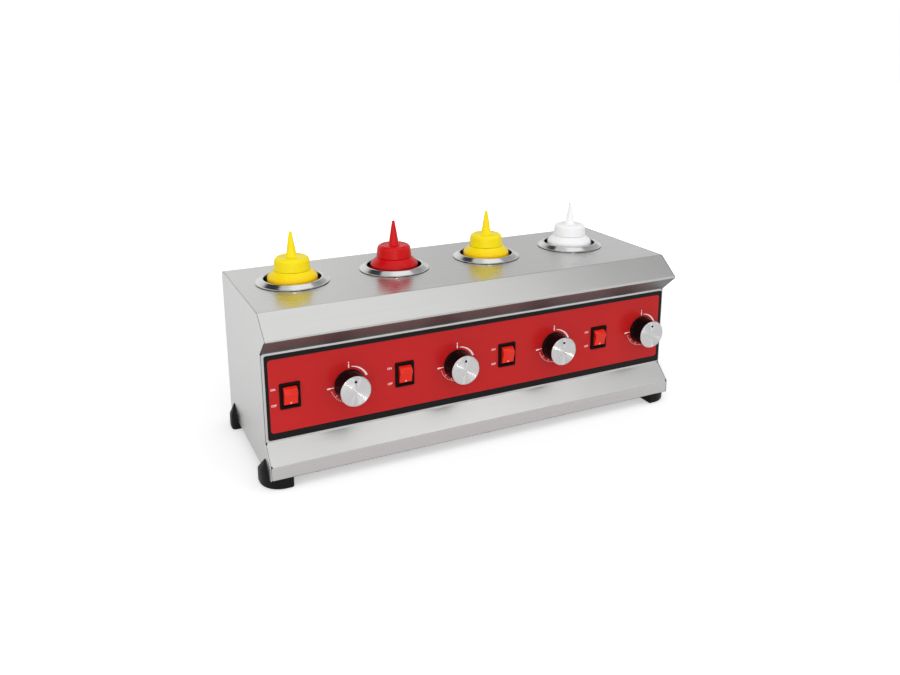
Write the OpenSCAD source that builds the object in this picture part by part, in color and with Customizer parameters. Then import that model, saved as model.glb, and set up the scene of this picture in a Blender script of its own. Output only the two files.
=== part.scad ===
// Sauce bain-marie for four squeeze bottles: a folded stainless cabinet with four
// heated wells, each with its own bottle, thermostat knob and rocker switch.
// Axes: +X to the viewer's right, +Z up, the control panel faces -Y.
// The floor is z = 0 and the origin lies under the middle of the whole object.

/* [Cabinet] */
// Width over the two side panels
cabinet_w = 600; // [590:5:800]
// Depth of the flat top, from the back face to the front bend
top_depth = 200; // [185:1:260]
// Height from the bottom edge of the skirt to the top
cabinet_h = 207; // [200:1:260]
// Thickness of the stainless sheet
sheet_t = 1; // [0.8:0.1:1.5]
// Inside radius of the sheet's bends
bend_r = 1.5; // [1:0.1:3]
// Width of the flanges folded in at the open edges
flange_w = 14; // [12:0.5:18]
// Seam between the cover and each side panel
seam_gap = 0.5; // [0.3:0.1:0.8]
// Play between sheets that lie edge to edge inside
edge_gap = 0.3; // [0.2:0.1:0.6]
// Radius of the round reliefs at the ends of the bends
relief_r = 1.6; // [1:0.1:2.5]
// Radius of the skirt's lower corners, seen from the front
skirt_corner_r = 4; // [2:0.5:6]

/* [Front profile] */
// How far the fascia's lower edge stands in front of the top's front bend
fascia_reach = 33; // [30:1:45]
// Height of the sloping fascia
fascia_drop = 26; // [20:1:32]
// How far the control panel stands behind the fascia's lower edge
panel_setback = 27; // [20:1:32]
// Height of the slope between the fascia and the control panel
under_drop = 24; // [18:1:30]
// Height of the upright skirt at the bottom of the front
skirt_h = 19; // [16:1:30]
// How far the lower slope comes forward again
lower_reach = 22; // [12:1:30]
// Height of the lower slope
lower_drop = 22; // [14:1:24]

/* [Control film] */
// Thickness of the printed film
film_t = 0.4; // [0.2:0.1:0.8]
// Bare steel left of the film
film_left = 4.5; // [2:0.5:8]
// Bare steel right of the film
film_right = 1.6; // [1.6:0.1:8]
// Bare steel above the film
film_top = 3; // [2:0.5:6]
// Bare steel below the film
film_bottom = 2.5; // [2:0.5:6]
// Corner radius of the film
film_corner_r = 3; // [1:0.5:6]

/* [Wells] */
// Distance from the left side of the cabinet to the first well's axis
well_left = 75.5; // [70:0.5:90]
// Distance from the last well's axis to the right side of the cabinet
well_right = 89.5; // [70:0.5:100]
// Distance of the wells' axes from the back face
well_back = 89; // [75:1:110]
// Inside diameter of a well
well_d = 76; // [72:0.5:80]
// Depth of a well below the cabinet's top
well_depth = 146; // [120:1:160]
// Wall of a well
well_t = 1; // [0.8:0.1:1.5]
// Radius where a well's wall meets its floor
well_floor_r = 6; // [3:0.5:8]
// Outside diameter of the raised collar
collar_d = 98; // [94:0.5:104]
// Height of the collar's rim above the top
collar_rise = 6; // [4:0.5:9]
// Width of the flat landing at the collar's foot
collar_land = 1.5; // [1:0.1:2]
// Play between a well and the hole it drops into
well_hole_gap = 1.5; // [0.5:0.1:3]

/* [Heaters] */
// Height of a band heater
heater_h = 48; // [30:1:52]
// Thickness of a band heater
heater_t = 3.2; // [2:0.1:5]
// Height of a band heater above the underside of its well
heater_lift = 15; // [10:1:20]
// Width of the split that the clamp screw closes
heater_split = 8; // [5:0.5:12]
// Play between a heater and its well
heater_gap = 0.2; // [0.1:0.1:0.5]

/* [Bottles] */
// Diameter of a bottle
bottle_d = 66; // [60:0.2:68]
// Height of a bottle from its base to the shoulder
bottle_h = 154.2; // [148:0.1:160]
// Height of the sloping shoulder
shoulder_h = 7.8; // [6:0.1:10]
// Height of the neck above the shoulder
neck_h = 15; // [10:0.5:16]
// Diameter of the neck
neck_d = 39; // [30:0.5:41]
// Inside radius of the shoulder's outer edge
shoulder_r = 6; // [3:0.5:7]
// Wall of a bottle
bottle_wall = 1.6; // [1.2:0.1:2.5]
// Radius of the bottle's base edge
bottle_base_r = 4; // [2:0.5:8]
// Distance between a bottle's base and the well's floor
bottle_seat_gap = 0.3; // [0.1:0.1:0.5]

/* [Nozzle caps] */
// Diameter of a cap at its lower edge
cap_base_d = 49; // [45:0.5:52]
// Diameter of a cap at its top
cap_top_d = 45; // [42:0.5:48]
// Height of a cap without its nozzle
cap_h = 17; // [12:0.5:20]
// Wall of a cap
cap_wall = 1.8; // [1.4:0.1:2.4]
// Play between a cap and the bottle's neck and shoulder
cap_gap = 0.3; // [0.2:0.1:0.5]
// Radius of the cap's top edge
cap_edge_r = 4.8; // [1:0.1:6]
// Diameter of a nozzle where it leaves the cap
nozzle_base_d = 14; // [11:0.5:18]
// Diameter of a nozzle's tip
nozzle_tip_d = 3.8; // [3.4:0.2:6]
// Height of a nozzle
nozzle_h = 33.5; // [20:0.5:45]
// Diameter of the hole in a nozzle's tip
nozzle_hole_d = 2; // [1:0.1:2.4]

/* [Knobs] */
// Distance from the left side of the cabinet to the first knob's axis
knob_left = 110; // [105:1:120]
// Distance from the last knob's axis to the right side of the cabinet
knob_right = 37; // [37:1:60]
// Diameter of a knob's face
knob_d = 40; // [36:0.5:44]
// Height of a knob from the film to its face
knob_h = 26; // [20:0.5:28]
// Height of the knob's foot ring
knob_ring_h = 3.5; // [2:0.5:6]
// How far the knob's foot ring stands proud of its side
knob_ring_step = 0.8; // [0.4:0.1:1.5]
// Wall of a knob
knob_wall = 2.4; // [1.6:0.1:3]
// Thickness of the aluminium face
face_t = 1.4; // [1.2:0.1:2]
// Width of the bevel round the aluminium face
face_bevel = 1.1; // [0.4:0.1:1.5]
// Diameter of the pointer dot
dot_d = 3.6; // [2:0.1:5]
// Distance of the pointer dot from the knob's middle
dot_out = 12.6; // [8:0.2:15]
// Running gap between a knob and the film
knob_gap = 0.6; // [0.4:0.1:1]
// Diameter of a thermostat's spindle
spindle_d = 6; // [5:0.5:7]
// Radial running clearance of a spindle
spindle_play = 0.05; // [0.02:0.01:0.09]
// Depth of the flat on a spindle
spindle_flat = 1.4; // [0.8:0.1:1.8]
// Length of the flatted end of a spindle
flat_len = 12; // [8:0.5:14]

/* [Thermostats] */
// Width of a thermostat
thermostat_w = 38; // [32:1:42]
// Height of a thermostat
thermostat_h = 30; // [26:1:34]
// Depth of a thermostat's case
thermostat_depth = 24; // [20:1:28]
// Diameter of the bush that the spindle runs in
bush_d = 10; // [9:0.5:12]
// How far the bush stands in front of the film
bush_reach = 2; // [1:0.2:4]
// Diameter of the bulb on the well
bulb_d = 6; // [4:0.5:7]
// Length of the bulb
bulb_len = 44; // [30:1:46]
// Diameter of the capillary tube
capillary_d = 1.8; // [1.4:0.2:2.4]

/* [Switches] */
// Distance from a switch to the knob on its right
switch_out = 76; // [70:1:76]
// Width of a switch's bezel
bezel_w = 26; // [24:0.5:30]
// Height of a switch's bezel
bezel_h = 33.5; // [32:0.5:38]
// Thickness of the bezel
bezel_t = 2.2; // [1.6:0.1:3]
// Width of the switch body behind the bezel
switch_w = 22; // [21:0.5:24]
// Height of the switch body behind the bezel
switch_h = 28.6; // [28:0.2:30]
// Depth of the switch body behind the film
switch_depth = 24; // [20:0.5:28]
// Play of the switch body in its cut-out
switch_play = 0.3; // [0.1:0.1:0.5]
// Width of the rocker
rocker_w = 17; // [15:0.5:18]
// Radius of the rocker's ends about its pivot
rocker_r = 13; // [12:0.1:13.2]
// Depth of the rocker's pivot behind the bezel's face
pivot_depth = 6.3; // [5.5:0.1:7]
// Half of the rocker's swing
rocker_tilt = 14; // [8:1:15]
// Play between the rocker and its housing
rocker_gap = 0.3; // [0.2:0.05:0.5]
// Diameter of the rocker's pivot pins
pivot_d = 2.4; // [1.8:0.1:3]
// Radial running clearance of the pivot pins
pivot_play = 0.05; // [0.02:0.01:0.09]

/* [Feet] */
// Height of the feet below the cabinet
foot_h = 14.5; // [10:0.5:18]
// Length of a foot along the side panel
foot_len = 40; // [36:1:48]
// How far a foot reaches in under the cabinet
foot_in = 29; // [26:1:36]
// How far a foot stands out beside the cabinet
foot_bulge = 8; // [6:0.5:11]
// How far a foot's end stands behind the skirt or the back face
foot_recess = 1.2; // [0.5:0.1:3]
// Radius of a foot's outer corner, seen from above
foot_corner_r = 28; // [20:1:30]
// Height of the fin that rises up the side panel
fin_h = 20.5; // [12:0.5:26]
// Distance of a foot's screw and fin from its end
foot_mid = 24; // [20:1:28]
// Radius of a foot's lower edge
foot_edge_r = 3.5; // [2:0.5:5]

/* [Supply] */
// Distance of the cable gland from the right side of the cabinet
gland_side = 68; // [60:1:100]
// Height of the cable gland above the cabinet's lower edge
gland_up = 42; // [36:1:60]
// How far the cable gland stands out behind the cabinet
gland_reach = 20; // [16:1:26]
// Diameter of the gland's bore
gland_bore_d = 9; // [7:0.5:10]
// Diameter of the gland's thread
gland_thread_d = 20; // [18:0.5:20]
// Distance from the gland to the earth stud
earth_out = 34; // [30:1:60]
// Diameter of the loom along the base
loom_d = 7; // [5:0.5:9]
// Diameter of a single lead
lead_d = 2.4; // [1.6:0.2:3]
// Diameter of the cabinet screws
screw_d = 4; // [3:0.5:4]

/* [Hidden] */
$fn = 64;
STATIONS = [1, 2, 3, 4];
function named(stem) = [for (i = STATIONS) str(stem, "_", i)];

steel = [0.78, 0.78, 0.78];
dark_plastic = [0.08, 0.08, 0.09];
film_red = [0.74, 0.16, 0.17];
rocker_red = [0.85, 0.16, 0.1];
aluminium = [0.86, 0.86, 0.86];
brass = [0.8, 0.66, 0.3];
bottle_colours = [[0.96, 0.8, 0.08], [0.78, 0.07, 0.09], [0.96, 0.8, 0.08], [0.95, 0.95, 0.95]];

// Overlap of shapes that are joined in one piece
joint_lap = 0.01;
// Overrun of the tools that cut holes
cut = 1;

// Half the angle between the fascia and the slope under it
fascia_half_angle = (atan2(fascia_drop, fascia_reach) + atan2(under_drop, panel_setback)) / 2;

// Levels of the cabinet, from the floor up
top_z = foot_h + cabinet_h;
fascia_z = top_z - fascia_drop;
panel_top_z = fascia_z - under_drop;
skirt_top_z = foot_h + skirt_h;
panel_bottom_z = skirt_top_z + lower_drop;
control_z = (panel_bottom_z + panel_top_z) / 2;

// Faces of the cabinet, from the back to the front. The whole object is centred on y = 0:
// it reaches from the fascia's lower bend or the knobs to the cable gland.
fascia_front = top_depth + fascia_reach - (sheet_t + bend_r) * (1 / sin(fascia_half_angle) - 1);
knob_front = top_depth + fascia_reach - panel_setback + film_t + knob_h;
back_y = (max(fascia_front, knob_front) - gland_reach) / 2;
top_front_y = back_y - top_depth;
fascia_y = top_front_y - fascia_reach;
panel_y = fascia_y + panel_setback;
skirt_y = panel_y - lower_reach;
film_y = panel_y - film_t;
panel_inner_y = panel_y + sheet_t;
back_inner_y = back_y - 2 * sheet_t;

// Half widths
side_x = cabinet_w / 2;
side_inner_x = side_x - sheet_t;
cover_x = side_inner_x - seam_gap;
inside_x = side_inner_x - edge_gap;

// Wells and bottles
well_r = well_d / 2;
well_outer_r = well_r + well_t;
well_floor_z = top_z - well_depth;
well_y = back_y - well_back;
well_pitch = (cabinet_w - well_left - well_right) / 3;
function well_x(i) = -side_x + well_left + (i - 1) * well_pitch;
bottle_r = bottle_d / 2;
bottle_z = well_floor_z + bottle_seat_gap;
shoulder_z = bottle_z + bottle_h;
neck_z = shoulder_z + shoulder_h;
neck_r = neck_d / 2;
neck_top_z = neck_z + neck_h;
cap_z = neck_z + cap_gap;
cap_ceiling_z = neck_top_z + cap_gap;
cap_top_z = cap_z + cap_h;

// Controls
control_pitch = (cabinet_w - knob_left - knob_right) / 3;
function knob_x(i) = -side_x + knob_left + (i - 1) * control_pitch;
function switch_x(i) = knob_x(i) - switch_out;
knob_r = knob_d / 2;
knob_side_r = knob_r - knob_ring_step;
knob_back_y = film_y - knob_gap;
knob_front_y = film_y - knob_h;
face_back_y = knob_front_y + face_t;
bush_front_y = film_y - bush_reach;
spindle_r = spindle_d / 2;
bush_r = bush_d / 2;
bush_hole_r = bush_r + 0.5;
thermostat_plate_t = 1.6;
thermostat_back_y = panel_inner_y + thermostat_plate_t + thermostat_depth;
spindle_seat = 16;
diaphragm_r = thermostat_h / 2 - 2;
diaphragm_t = 5;

// Switches
bezel_y = film_y - bezel_t;
pivot_y = bezel_y + pivot_depth;
window_w = rocker_w + 2 * rocker_gap;
horn_angle = 56;
horn_floor = 10;
valley = 0.8;
switch_back_y = panel_y + switch_depth;
tab_len = 8;
tab_t = 0.8;
tab_h = 6.3;

// Screws
screw_r = screw_d / 2;
screw_hole_r = screw_r + 0.2;
head_r = screw_d;
head_t = 2.2;
screw_inset = 60;
plate_z = foot_h + sheet_t;
plate_top_z = plate_z + sheet_t;

// Feet
foot_w = foot_bulge + foot_in;
foot_x = side_x - 12;
front_foot_y = skirt_y + foot_recess + foot_mid;
back_foot_y = back_y - foot_recess - foot_mid;
foot_bore_r = 5.5;
foot_bore_h = 6;

// Supply entry
gland_x = side_x - gland_side;
gland_z = foot_h + gland_up;
gland_r = gland_thread_d / 2;
gland_hex_r = gland_r + 4;
locknut_t = 5;
earth_x = gland_x - earth_out;
earth_r = 2.5;

// Plane geometry

function unit(v) = v / norm(v);
function left_of(v) = [-v.y, v.x];

// Arc of radius r that rounds the corner b between a and c
function corner_arc(a, b, c, r) =
    r <= 0 ? [b] :
    let (
        u = unit(a - b), v = unit(c - b),
        half = acos(u * v) / 2,
        centre = b + unit(u + v) * r / sin(half),
        p = b + u * r / tan(half) - centre,
        q = b + v * r / tan(half) - centre,
        start = atan2(p.y, p.x),
        swing = (atan2(q.y, q.x) - start + 540) % 360 - 180,
        steps = r < 2 ? 4 : 8
    )
    [for (k = [0:steps])
        centre + r * [cos(start + swing * k / steps), sin(start + swing * k / steps)]];

// Open path with every inner corner rounded to its own radius
function rounded_path(path, radii) =
    [for (i = [0:len(path) - 1])
        each (i == 0 || i == len(path) - 1) ? [path[i]]
            : corner_arc(path[i - 1], path[i], path[i + 1], radii[i])];

// Open path moved to its left by t, with mitred corners
function left_shift(path, t) =
    let (last = len(path) - 1)
    [for (i = [0:last])
        let (
            a = left_of(unit(path[max(i, 1)] - path[max(i, 1) - 1])),
            b = left_of(unit(path[min(i, last - 1) + 1] - path[min(i, last - 1)]))
        )
        path[i] + t * (a + b) / (1 + a * b)];

// Radii along one skin of a folded sheet: the outside of a bend is r + t
function skin_radii(path, r, t, left_adds) =
    [for (i = [0:len(path) - 1])
        (i == 0 || i == len(path) - 1) ? 0
            : (cross(path[i] - path[i - 1], path[i + 1] - path[i]) > 0) == left_adds ? r[i] + t : r[i]];

// Closed outline of a folded sheet, whose skin is the path and whose metal is on its left
function sheet_outline(path, r, t) =
    let (
        skin = rounded_path(path, skin_radii(path, r, t, true)),
        inner_path = left_shift(path, t),
        inner = rounded_path(inner_path, skin_radii(path, r, t, false))
    )
    concat(skin, [for (i = [len(inner) - 1:-1:0]) inner[i]]);

// Outer skin of the cover, from its back flange over the top and down the front
cover_path = [
    [back_y, top_z - flange_w],
    [back_y, top_z],
    [top_front_y, top_z],
    [fascia_y, fascia_z],
    [panel_y, panel_top_z],
    [panel_y, panel_bottom_z],
    [skirt_y, skirt_top_z],
    [skirt_y, foot_h],
    [skirt_y + flange_w, foot_h]
];
cover_radii = [for (p = cover_path) bend_r];

// Shapes used more than once

// Extrusion along X of an outline in the Y-Z plane, centred on x = 0
module profile_x(width) {
    translate([-width / 2, 0, 0]) rotate([90, 0, 90]) linear_extrude(width) children();
}

// Extrusion along Y of an outline in the X-Z plane, from y0 to y1
module profile_y(y0, y1) {
    translate([0, y1, 0]) rotate([90, 0, 0]) linear_extrude(y1 - y0) children();
}

module box(x, y, z) {
    translate([x[0], y[0], z[0]]) cube([x[1] - x[0], y[1] - y[0], z[1] - z[0]]);
}

// Round bar along Y
module bar_y(x, z, y0, y1, r) {
    translate([x, y0, z]) rotate([-90, 0, 0]) cylinder(h = y1 - y0, r = r);
}

module rounded_rect(w, h, r) {
    square([w - 2 * r, h], center = true);
    square([w, h - 2 * r], center = true);
    for (sx = [-1, 1], sz = [-1, 1])
        translate([sx * (w / 2 - r), sz * (h / 2 - r)]) circle(r);
}

// Straight rod from p to q
module rod(p, q, r) {
    d = q - p;
    translate(p)
        rotate([0, acos(d.z / norm(d)), atan2(d.y, d.x)])
        cylinder(h = norm(d), r = r, $fn = 24);
}

// Bent rod through a list of points, with ball corners
module bent_rod(points, r) {
    for (i = [0:len(points) - 2]) rod(points[i], points[i + 1], r);
    for (i = [1:len(points) - 2]) translate(points[i]) sphere(r, $fn = 24);
}

// Quarter bend in the X-Z plane, from straight up to level
module quarter_bend(r, bend) {
    rotate([90, 0, 0]) rotate([0, 0, 90]) rotate_extrude(angle = 90) translate([bend, 0]) circle(r, $fn = 24);
}

// Tube that goes up from p, level across at height top, and down to q
module hairpin(p, q, top, r, bend) {
    across = norm([q.x - p.x, q.y - p.y]);
    translate([p.x, p.y, 0]) rotate([0, 0, atan2(q.y - p.y, q.x - p.x)]) {
        translate([0, 0, p.z]) cylinder(h = top - bend - p.z, r = r, $fn = 24);
        translate([bend, 0, top - bend]) quarter_bend(r, bend);
        translate([bend, 0, top]) rotate([0, 90, 0]) cylinder(h = across - 2 * bend, r = r, $fn = 24);
        translate([across - bend, 0, top - bend]) mirror([1, 0, 0]) quarter_bend(r, bend);
        translate([across, 0, q.z]) cylinder(h = top - bend - q.z, r = r, $fn = 24);
    }
}

// Places of the screws

side_screw_y = [for (k = [1:3]) front_foot_y + (back_foot_y - front_foot_y) * k / 4];
front_screw_x = [for (k = [-2:2]) k * (side_x - screw_inset) / 2];
flange_mid = flange_w / 2;
base_screw_points = concat(
    [for (s = [-1, 1], y = side_screw_y) [s * (side_inner_x - flange_mid), y]],
    [for (x = front_screw_x) [x, skirt_y + flange_mid]]);
foot_points = [for (s = [-1, 1], y = [front_foot_y, back_foot_y]) [s * foot_x, y]];

side_screw_z = [for (k = [0:2]) foot_h + 30 + k * (cabinet_h - flange_w - 50) / 2];
top_screw_x = [for (k = [-2:2]) k * (side_x - screw_inset) / 2];
back_screw_points = concat(
    [for (s = [-1, 1], z = side_screw_z) [s * (side_inner_x - flange_mid), z]],
    [for (x = top_screw_x) [x, top_z - flange_mid - bend_r]]);
low_screw_points = [for (x = [-1, -0.5, 0, 0.5, 1]) [x * (side_x - 40), plate_top_z + flange_mid]];

module base_holes() {
    for (p = concat(base_screw_points, foot_points))
        translate([p.x, p.y, foot_h - cut]) cylinder(h = 2 * sheet_t + 2 * cut, r = screw_hole_r);
}

module back_holes(points) {
    for (p = points)
        bar_y(p.x, p.y, back_inner_y - cut - sheet_t, back_y + cut, screw_hole_r);
}

// Cabinet

module panel_cutouts(y0, y1) {
    for (i = STATIONS) {
        bar_y(knob_x(i), control_z, y0, y1, bush_hole_r);
        box([switch_x(i) - switch_w / 2 - switch_play, switch_x(i) + switch_w / 2 + switch_play],
            [y0, y1],
            [control_z - switch_h / 2 - switch_play, control_z + switch_h / 2 + switch_play]);
    }
}

// Tool that rounds the skirt's lower corner at one end
module skirt_corner(s) {
    scale([s, 1, 1])
        profile_y(skirt_y - cut, skirt_y + flange_w + cut)
        difference() {
            translate([cover_x - skirt_corner_r, foot_h - cut])
                square([skirt_corner_r + cut, skirt_corner_r + cut]);
            translate([cover_x - skirt_corner_r, foot_h + skirt_corner_r]) circle(skirt_corner_r);
        }
}

module top_front_cover() {
    color(steel) difference() {
        profile_x(2 * cover_x) polygon(sheet_outline(cover_path, cover_radii, sheet_t));
        for (i = STATIONS)
            translate([well_x(i), well_y, top_z - 2 * sheet_t - cut])
                cylinder(h = 3 * sheet_t + 2 * cut, r = well_outer_r + well_hole_gap);
        panel_cutouts(panel_y - cut, panel_inner_y + cut);
        for (s = [-1, 1]) {
            for (z = [panel_top_z, panel_bottom_z])
                bar_y(s * cover_x, z, panel_y - 2 * sheet_t, panel_y + 3 * sheet_t, relief_r);
            bar_y(s * cover_x, skirt_top_z, skirt_y - sheet_t, skirt_y + 4 * sheet_t, relief_r);
        }
        for (s = [-1, 1]) skirt_corner(s);
        base_holes();
        back_holes(back_screw_points);
    }
}

// Left side panel: a cheek cut to the cover's outline, with flanges folded inwards
module side_cheek() {
    outline = concat([[back_y, foot_h]], [for (i = [1:7]) cover_path[i]], [[back_y, foot_h]]);
    radii = skin_radii(outline, [for (p = outline) bend_r], sheet_t, true);
    color(steel) difference() {
        union() {
            translate([-side_x + sheet_t / 2, 0, 0])
                profile_x(sheet_t) polygon(rounded_path(outline, radii));
            box([-side_inner_x - joint_lap, -side_inner_x + flange_w],
                [skirt_y + flange_w + edge_gap, back_inner_y - edge_gap],
                [foot_h, plate_z]);
            box([-side_inner_x - joint_lap, -side_inner_x + flange_w],
                [back_y - sheet_t, back_y],
                [foot_h, top_z - flange_w - edge_gap]);
            box([-side_inner_x - joint_lap, -side_inner_x + flange_w],
                [top_front_y + flange_w, back_y - flange_w],
                [top_z - 2 * sheet_t, top_z - sheet_t]);
        }
        base_holes();
        back_holes(back_screw_points);
    }
}

module left_side_panel() side_cheek();

module right_side_panel() mirror([1, 0, 0]) side_cheek();

// Rounded vent slot, lying along X
module vent_slot(w, h) {
    square([w - h, h], center = true);
    for (s = [-1, 1]) translate([s * (w - h) / 2, 0]) circle(h / 2, $fn = 24);
}

vent_rows = 6;
vent_w = 46;
vent_h = 4;
vent_step = 9;
vent_x = [-side_x * 0.6, -side_x * 0.2, side_x * 0.2];
vent_z = foot_h + cabinet_h * 0.62;

module back_panel() {
    color(steel) difference() {
        box([-inside_x, inside_x], [back_inner_y, back_y - sheet_t],
            [foot_h + edge_gap, top_z - sheet_t - bend_r - edge_gap]);
        profile_y(back_inner_y - cut, back_y + cut)
            for (x = vent_x, k = [0:vent_rows - 1])
                translate([x, vent_z + (k - (vent_rows - 1) / 2) * vent_step]) vent_slot(vent_w, vent_h);
        bar_y(gland_x, gland_z, back_inner_y - cut, back_y + cut, gland_r + 0.2);
        bar_y(earth_x, gland_z, back_inner_y - cut, back_y + cut, earth_r + 0.2);
        back_holes(concat(back_screw_points, low_screw_points));
    }
}

module base_plate() {
    front = skirt_y + sheet_t + bend_r + edge_gap;
    color(steel) difference() {
        union() {
            box([-inside_x, inside_x], [front, back_inner_y], [plate_z, plate_top_z]);
            box([-inside_x + flange_w, inside_x - flange_w],
                [back_inner_y - sheet_t, back_inner_y], [plate_z, plate_top_z + flange_w]);
        }
        base_holes();
        back_holes(low_screw_points);
        translate([0, 0, plate_z - cut]) linear_extrude(sheet_t + 2 * cut)
            for (i = STATIONS, k = [-1, 0, 1])
                translate([well_x(i), well_y + k * vent_step]) vent_slot(vent_w, vent_h);
    }
}

module control_overlay() {
    x0 = -side_x + film_left;
    x1 = side_x - film_right;
    z0 = panel_bottom_z + film_bottom;
    z1 = panel_top_z - film_top;
    color(film_red) difference() {
        profile_y(film_y, panel_y)
            translate([(x0 + x1) / 2, (z0 + z1) / 2]) rounded_rect(x1 - x0, z1 - z0, film_corner_r);
        panel_cutouts(film_y - cut, panel_y + cut);
    }
}

// Wells and heaters

collar_r = collar_d / 2;
rim_r = well_r + 3.2;
well_path = [
    [collar_r, top_z + well_t],
    [collar_r - collar_land, top_z + well_t],
    [rim_r, top_z + collar_rise],
    [well_r, top_z + collar_rise],
    [well_r, well_floor_z],
    [0, well_floor_z]
];
well_radii = [0, 0.6, 1.2, 0.8, well_floor_r, 0];

module well(i) {
    color(steel) translate([well_x(i), well_y, 0])
        rotate_extrude($fn = 96) polygon(sheet_outline(well_path, well_radii, well_t));
}

module band_heater(i) {
    r0 = well_outer_r + heater_gap;
    r1 = r0 + heater_t;
    ear = 9;
    z0 = well_floor_z - well_t + heater_lift;
    mid_z = z0 + heater_h / 2;
    color(steel) translate([well_x(i), well_y, 0]) {
        difference() {
            union() {
                translate([0, 0, z0]) cylinder(h = heater_h, r = r1, $fn = 96);
                for (s = [-1, 1])
                    box([s > 0 ? heater_split / 2 : -heater_split / 2 - 2,
                         s > 0 ? heater_split / 2 + 2 : -heater_split / 2],
                        [r0, r1 + ear], [z0 + 6, z0 + heater_h - 6]);
            }
            translate([0, 0, z0 - cut]) cylinder(h = heater_h + 2 * cut, r = r0, $fn = 96);
            box([-heater_split / 2, heater_split / 2], [0, r1 + ear + cut], [z0 - cut, z0 + heater_h + cut]);
        }
        // Clamp screw through the two ears, and the terminal posts beside it
        translate([-heater_split, r1 + ear - 4, mid_z])
            rotate([0, 90, 0]) cylinder(h = 2 * heater_split, r = 1.5, $fn = 24);
        for (a = [65, 115])
            rotate([0, 0, a]) translate([r1 - joint_lap, 0, z0 + heater_h * 0.75])
                rotate([0, 90, 0]) cylinder(h = 7, r = 1.8, $fn = 24);
    }
}

// Thermostats

module d_outline(r, flat) {
    intersection() {
        circle(r);
        translate([-2 * r, -2 * r]) square([4 * r, 3 * r - flat]);
    }
}

module thermostat(i) {
    x = knob_x(i);
    bulb_r = bulb_d / 2;
    bulb_at = well_outer_r + heater_gap + bulb_r;
    bulb_x = well_x(i) + bulb_at * cos(-60);
    bulb_y = well_y + bulb_at * sin(-60);
    bulb_top = top_z - 34;
    loop_y = thermostat_back_y + diaphragm_t / 2;
    color(dark_plastic) difference() {
        union() {
            bar_y(x, control_z, bush_front_y, panel_inner_y + joint_lap, bush_r);
            box([x - thermostat_w / 2 - 3, x + thermostat_w / 2 + 3],
                [panel_inner_y, panel_inner_y + thermostat_plate_t],
                [control_z - thermostat_h / 2, control_z + thermostat_h / 2]);
            box([x - thermostat_w / 2, x + thermostat_w / 2],
                [panel_inner_y + thermostat_plate_t - joint_lap, thermostat_back_y],
                [control_z - thermostat_h / 2, control_z + thermostat_h / 2]);
            bar_y(x, control_z, thermostat_back_y - joint_lap, thermostat_back_y + diaphragm_t, diaphragm_r);
            for (k = [-1, 1])
                box([x + k * 12 - 3.15, x + k * 12 + 3.15],
                    [thermostat_back_y - 8, thermostat_back_y - 8 + tab_t],
                    [control_z - thermostat_h / 2 - 7, control_z - thermostat_h / 2 + joint_lap]);
        }
        bar_y(x, control_z, bush_front_y - cut, panel_inner_y + spindle_seat, spindle_r + spindle_play);
    }
    // Capillary tube and bulb
    color(brass) {
        hairpin([bulb_x, bulb_y, bulb_top - joint_lap], [x, loop_y, control_z + diaphragm_r - 0.5],
            top_z - 14, capillary_d / 2, 6);
        translate([bulb_x, bulb_y, bulb_top - bulb_len]) cylinder(h = bulb_len, r = bulb_r, $fn = 32);
    }
}

module spindle(i) {
    front = face_back_y + knob_wall;
    color(steel) difference() {
        bar_y(knob_x(i), control_z, front, panel_inner_y + spindle_seat - 0.3, spindle_r);
        box([knob_x(i) - spindle_r - cut, knob_x(i) + spindle_r + cut],
            [front - cut, front + flat_len],
            [control_z + spindle_r - spindle_flat, control_z + spindle_r + cut]);
    }
}

// Knobs

// Outline of the knob's moulding: radius against distance behind the face
module knob_outline() {
    depth = knob_back_y - face_back_y;
    hub_r = spindle_r + 3.5;
    difference() {
        union() {
            square([knob_side_r, depth]);
            translate([0, depth - knob_ring_h]) square([knob_r, knob_ring_h]);
        }
        translate([hub_r, knob_wall]) square([knob_side_r - knob_wall - hub_r, depth]);
        translate([-cut, depth - bush_reach]) square([hub_r + 2 * cut, bush_reach + cut]);
    }
}

module knob(i) {
    color(dark_plastic) difference() {
        translate([knob_x(i), face_back_y, control_z])
            rotate([-90, 0, 0]) rotate_extrude($fn = 72) knob_outline();
        // Flatted bore for the spindle
        profile_y(face_back_y + knob_wall, face_back_y + knob_wall + flat_len)
            translate([knob_x(i), control_z]) d_outline(spindle_r + spindle_play, spindle_flat);
        bar_y(knob_x(i), control_z, face_back_y + knob_wall + flat_len - 0.2, knob_back_y + cut,
            spindle_r + spindle_play);
    }
}

module knob_face(i) {
    face_r = knob_r - 0.2;
    color(aluminium) difference() {
        translate([knob_x(i), knob_front_y, control_z]) rotate([-90, 0, 0]) {
            cylinder(h = face_t / 2, r1 = face_r - face_bevel, r2 = face_r);
            translate([0, 0, face_t / 2]) cylinder(h = face_t / 2, r = face_r);
        }
        bar_y(knob_x(i), control_z + dot_out, knob_front_y - cut, face_back_y + cut, dot_d / 2, $fn = 32);
    }
}

// Switches

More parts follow.
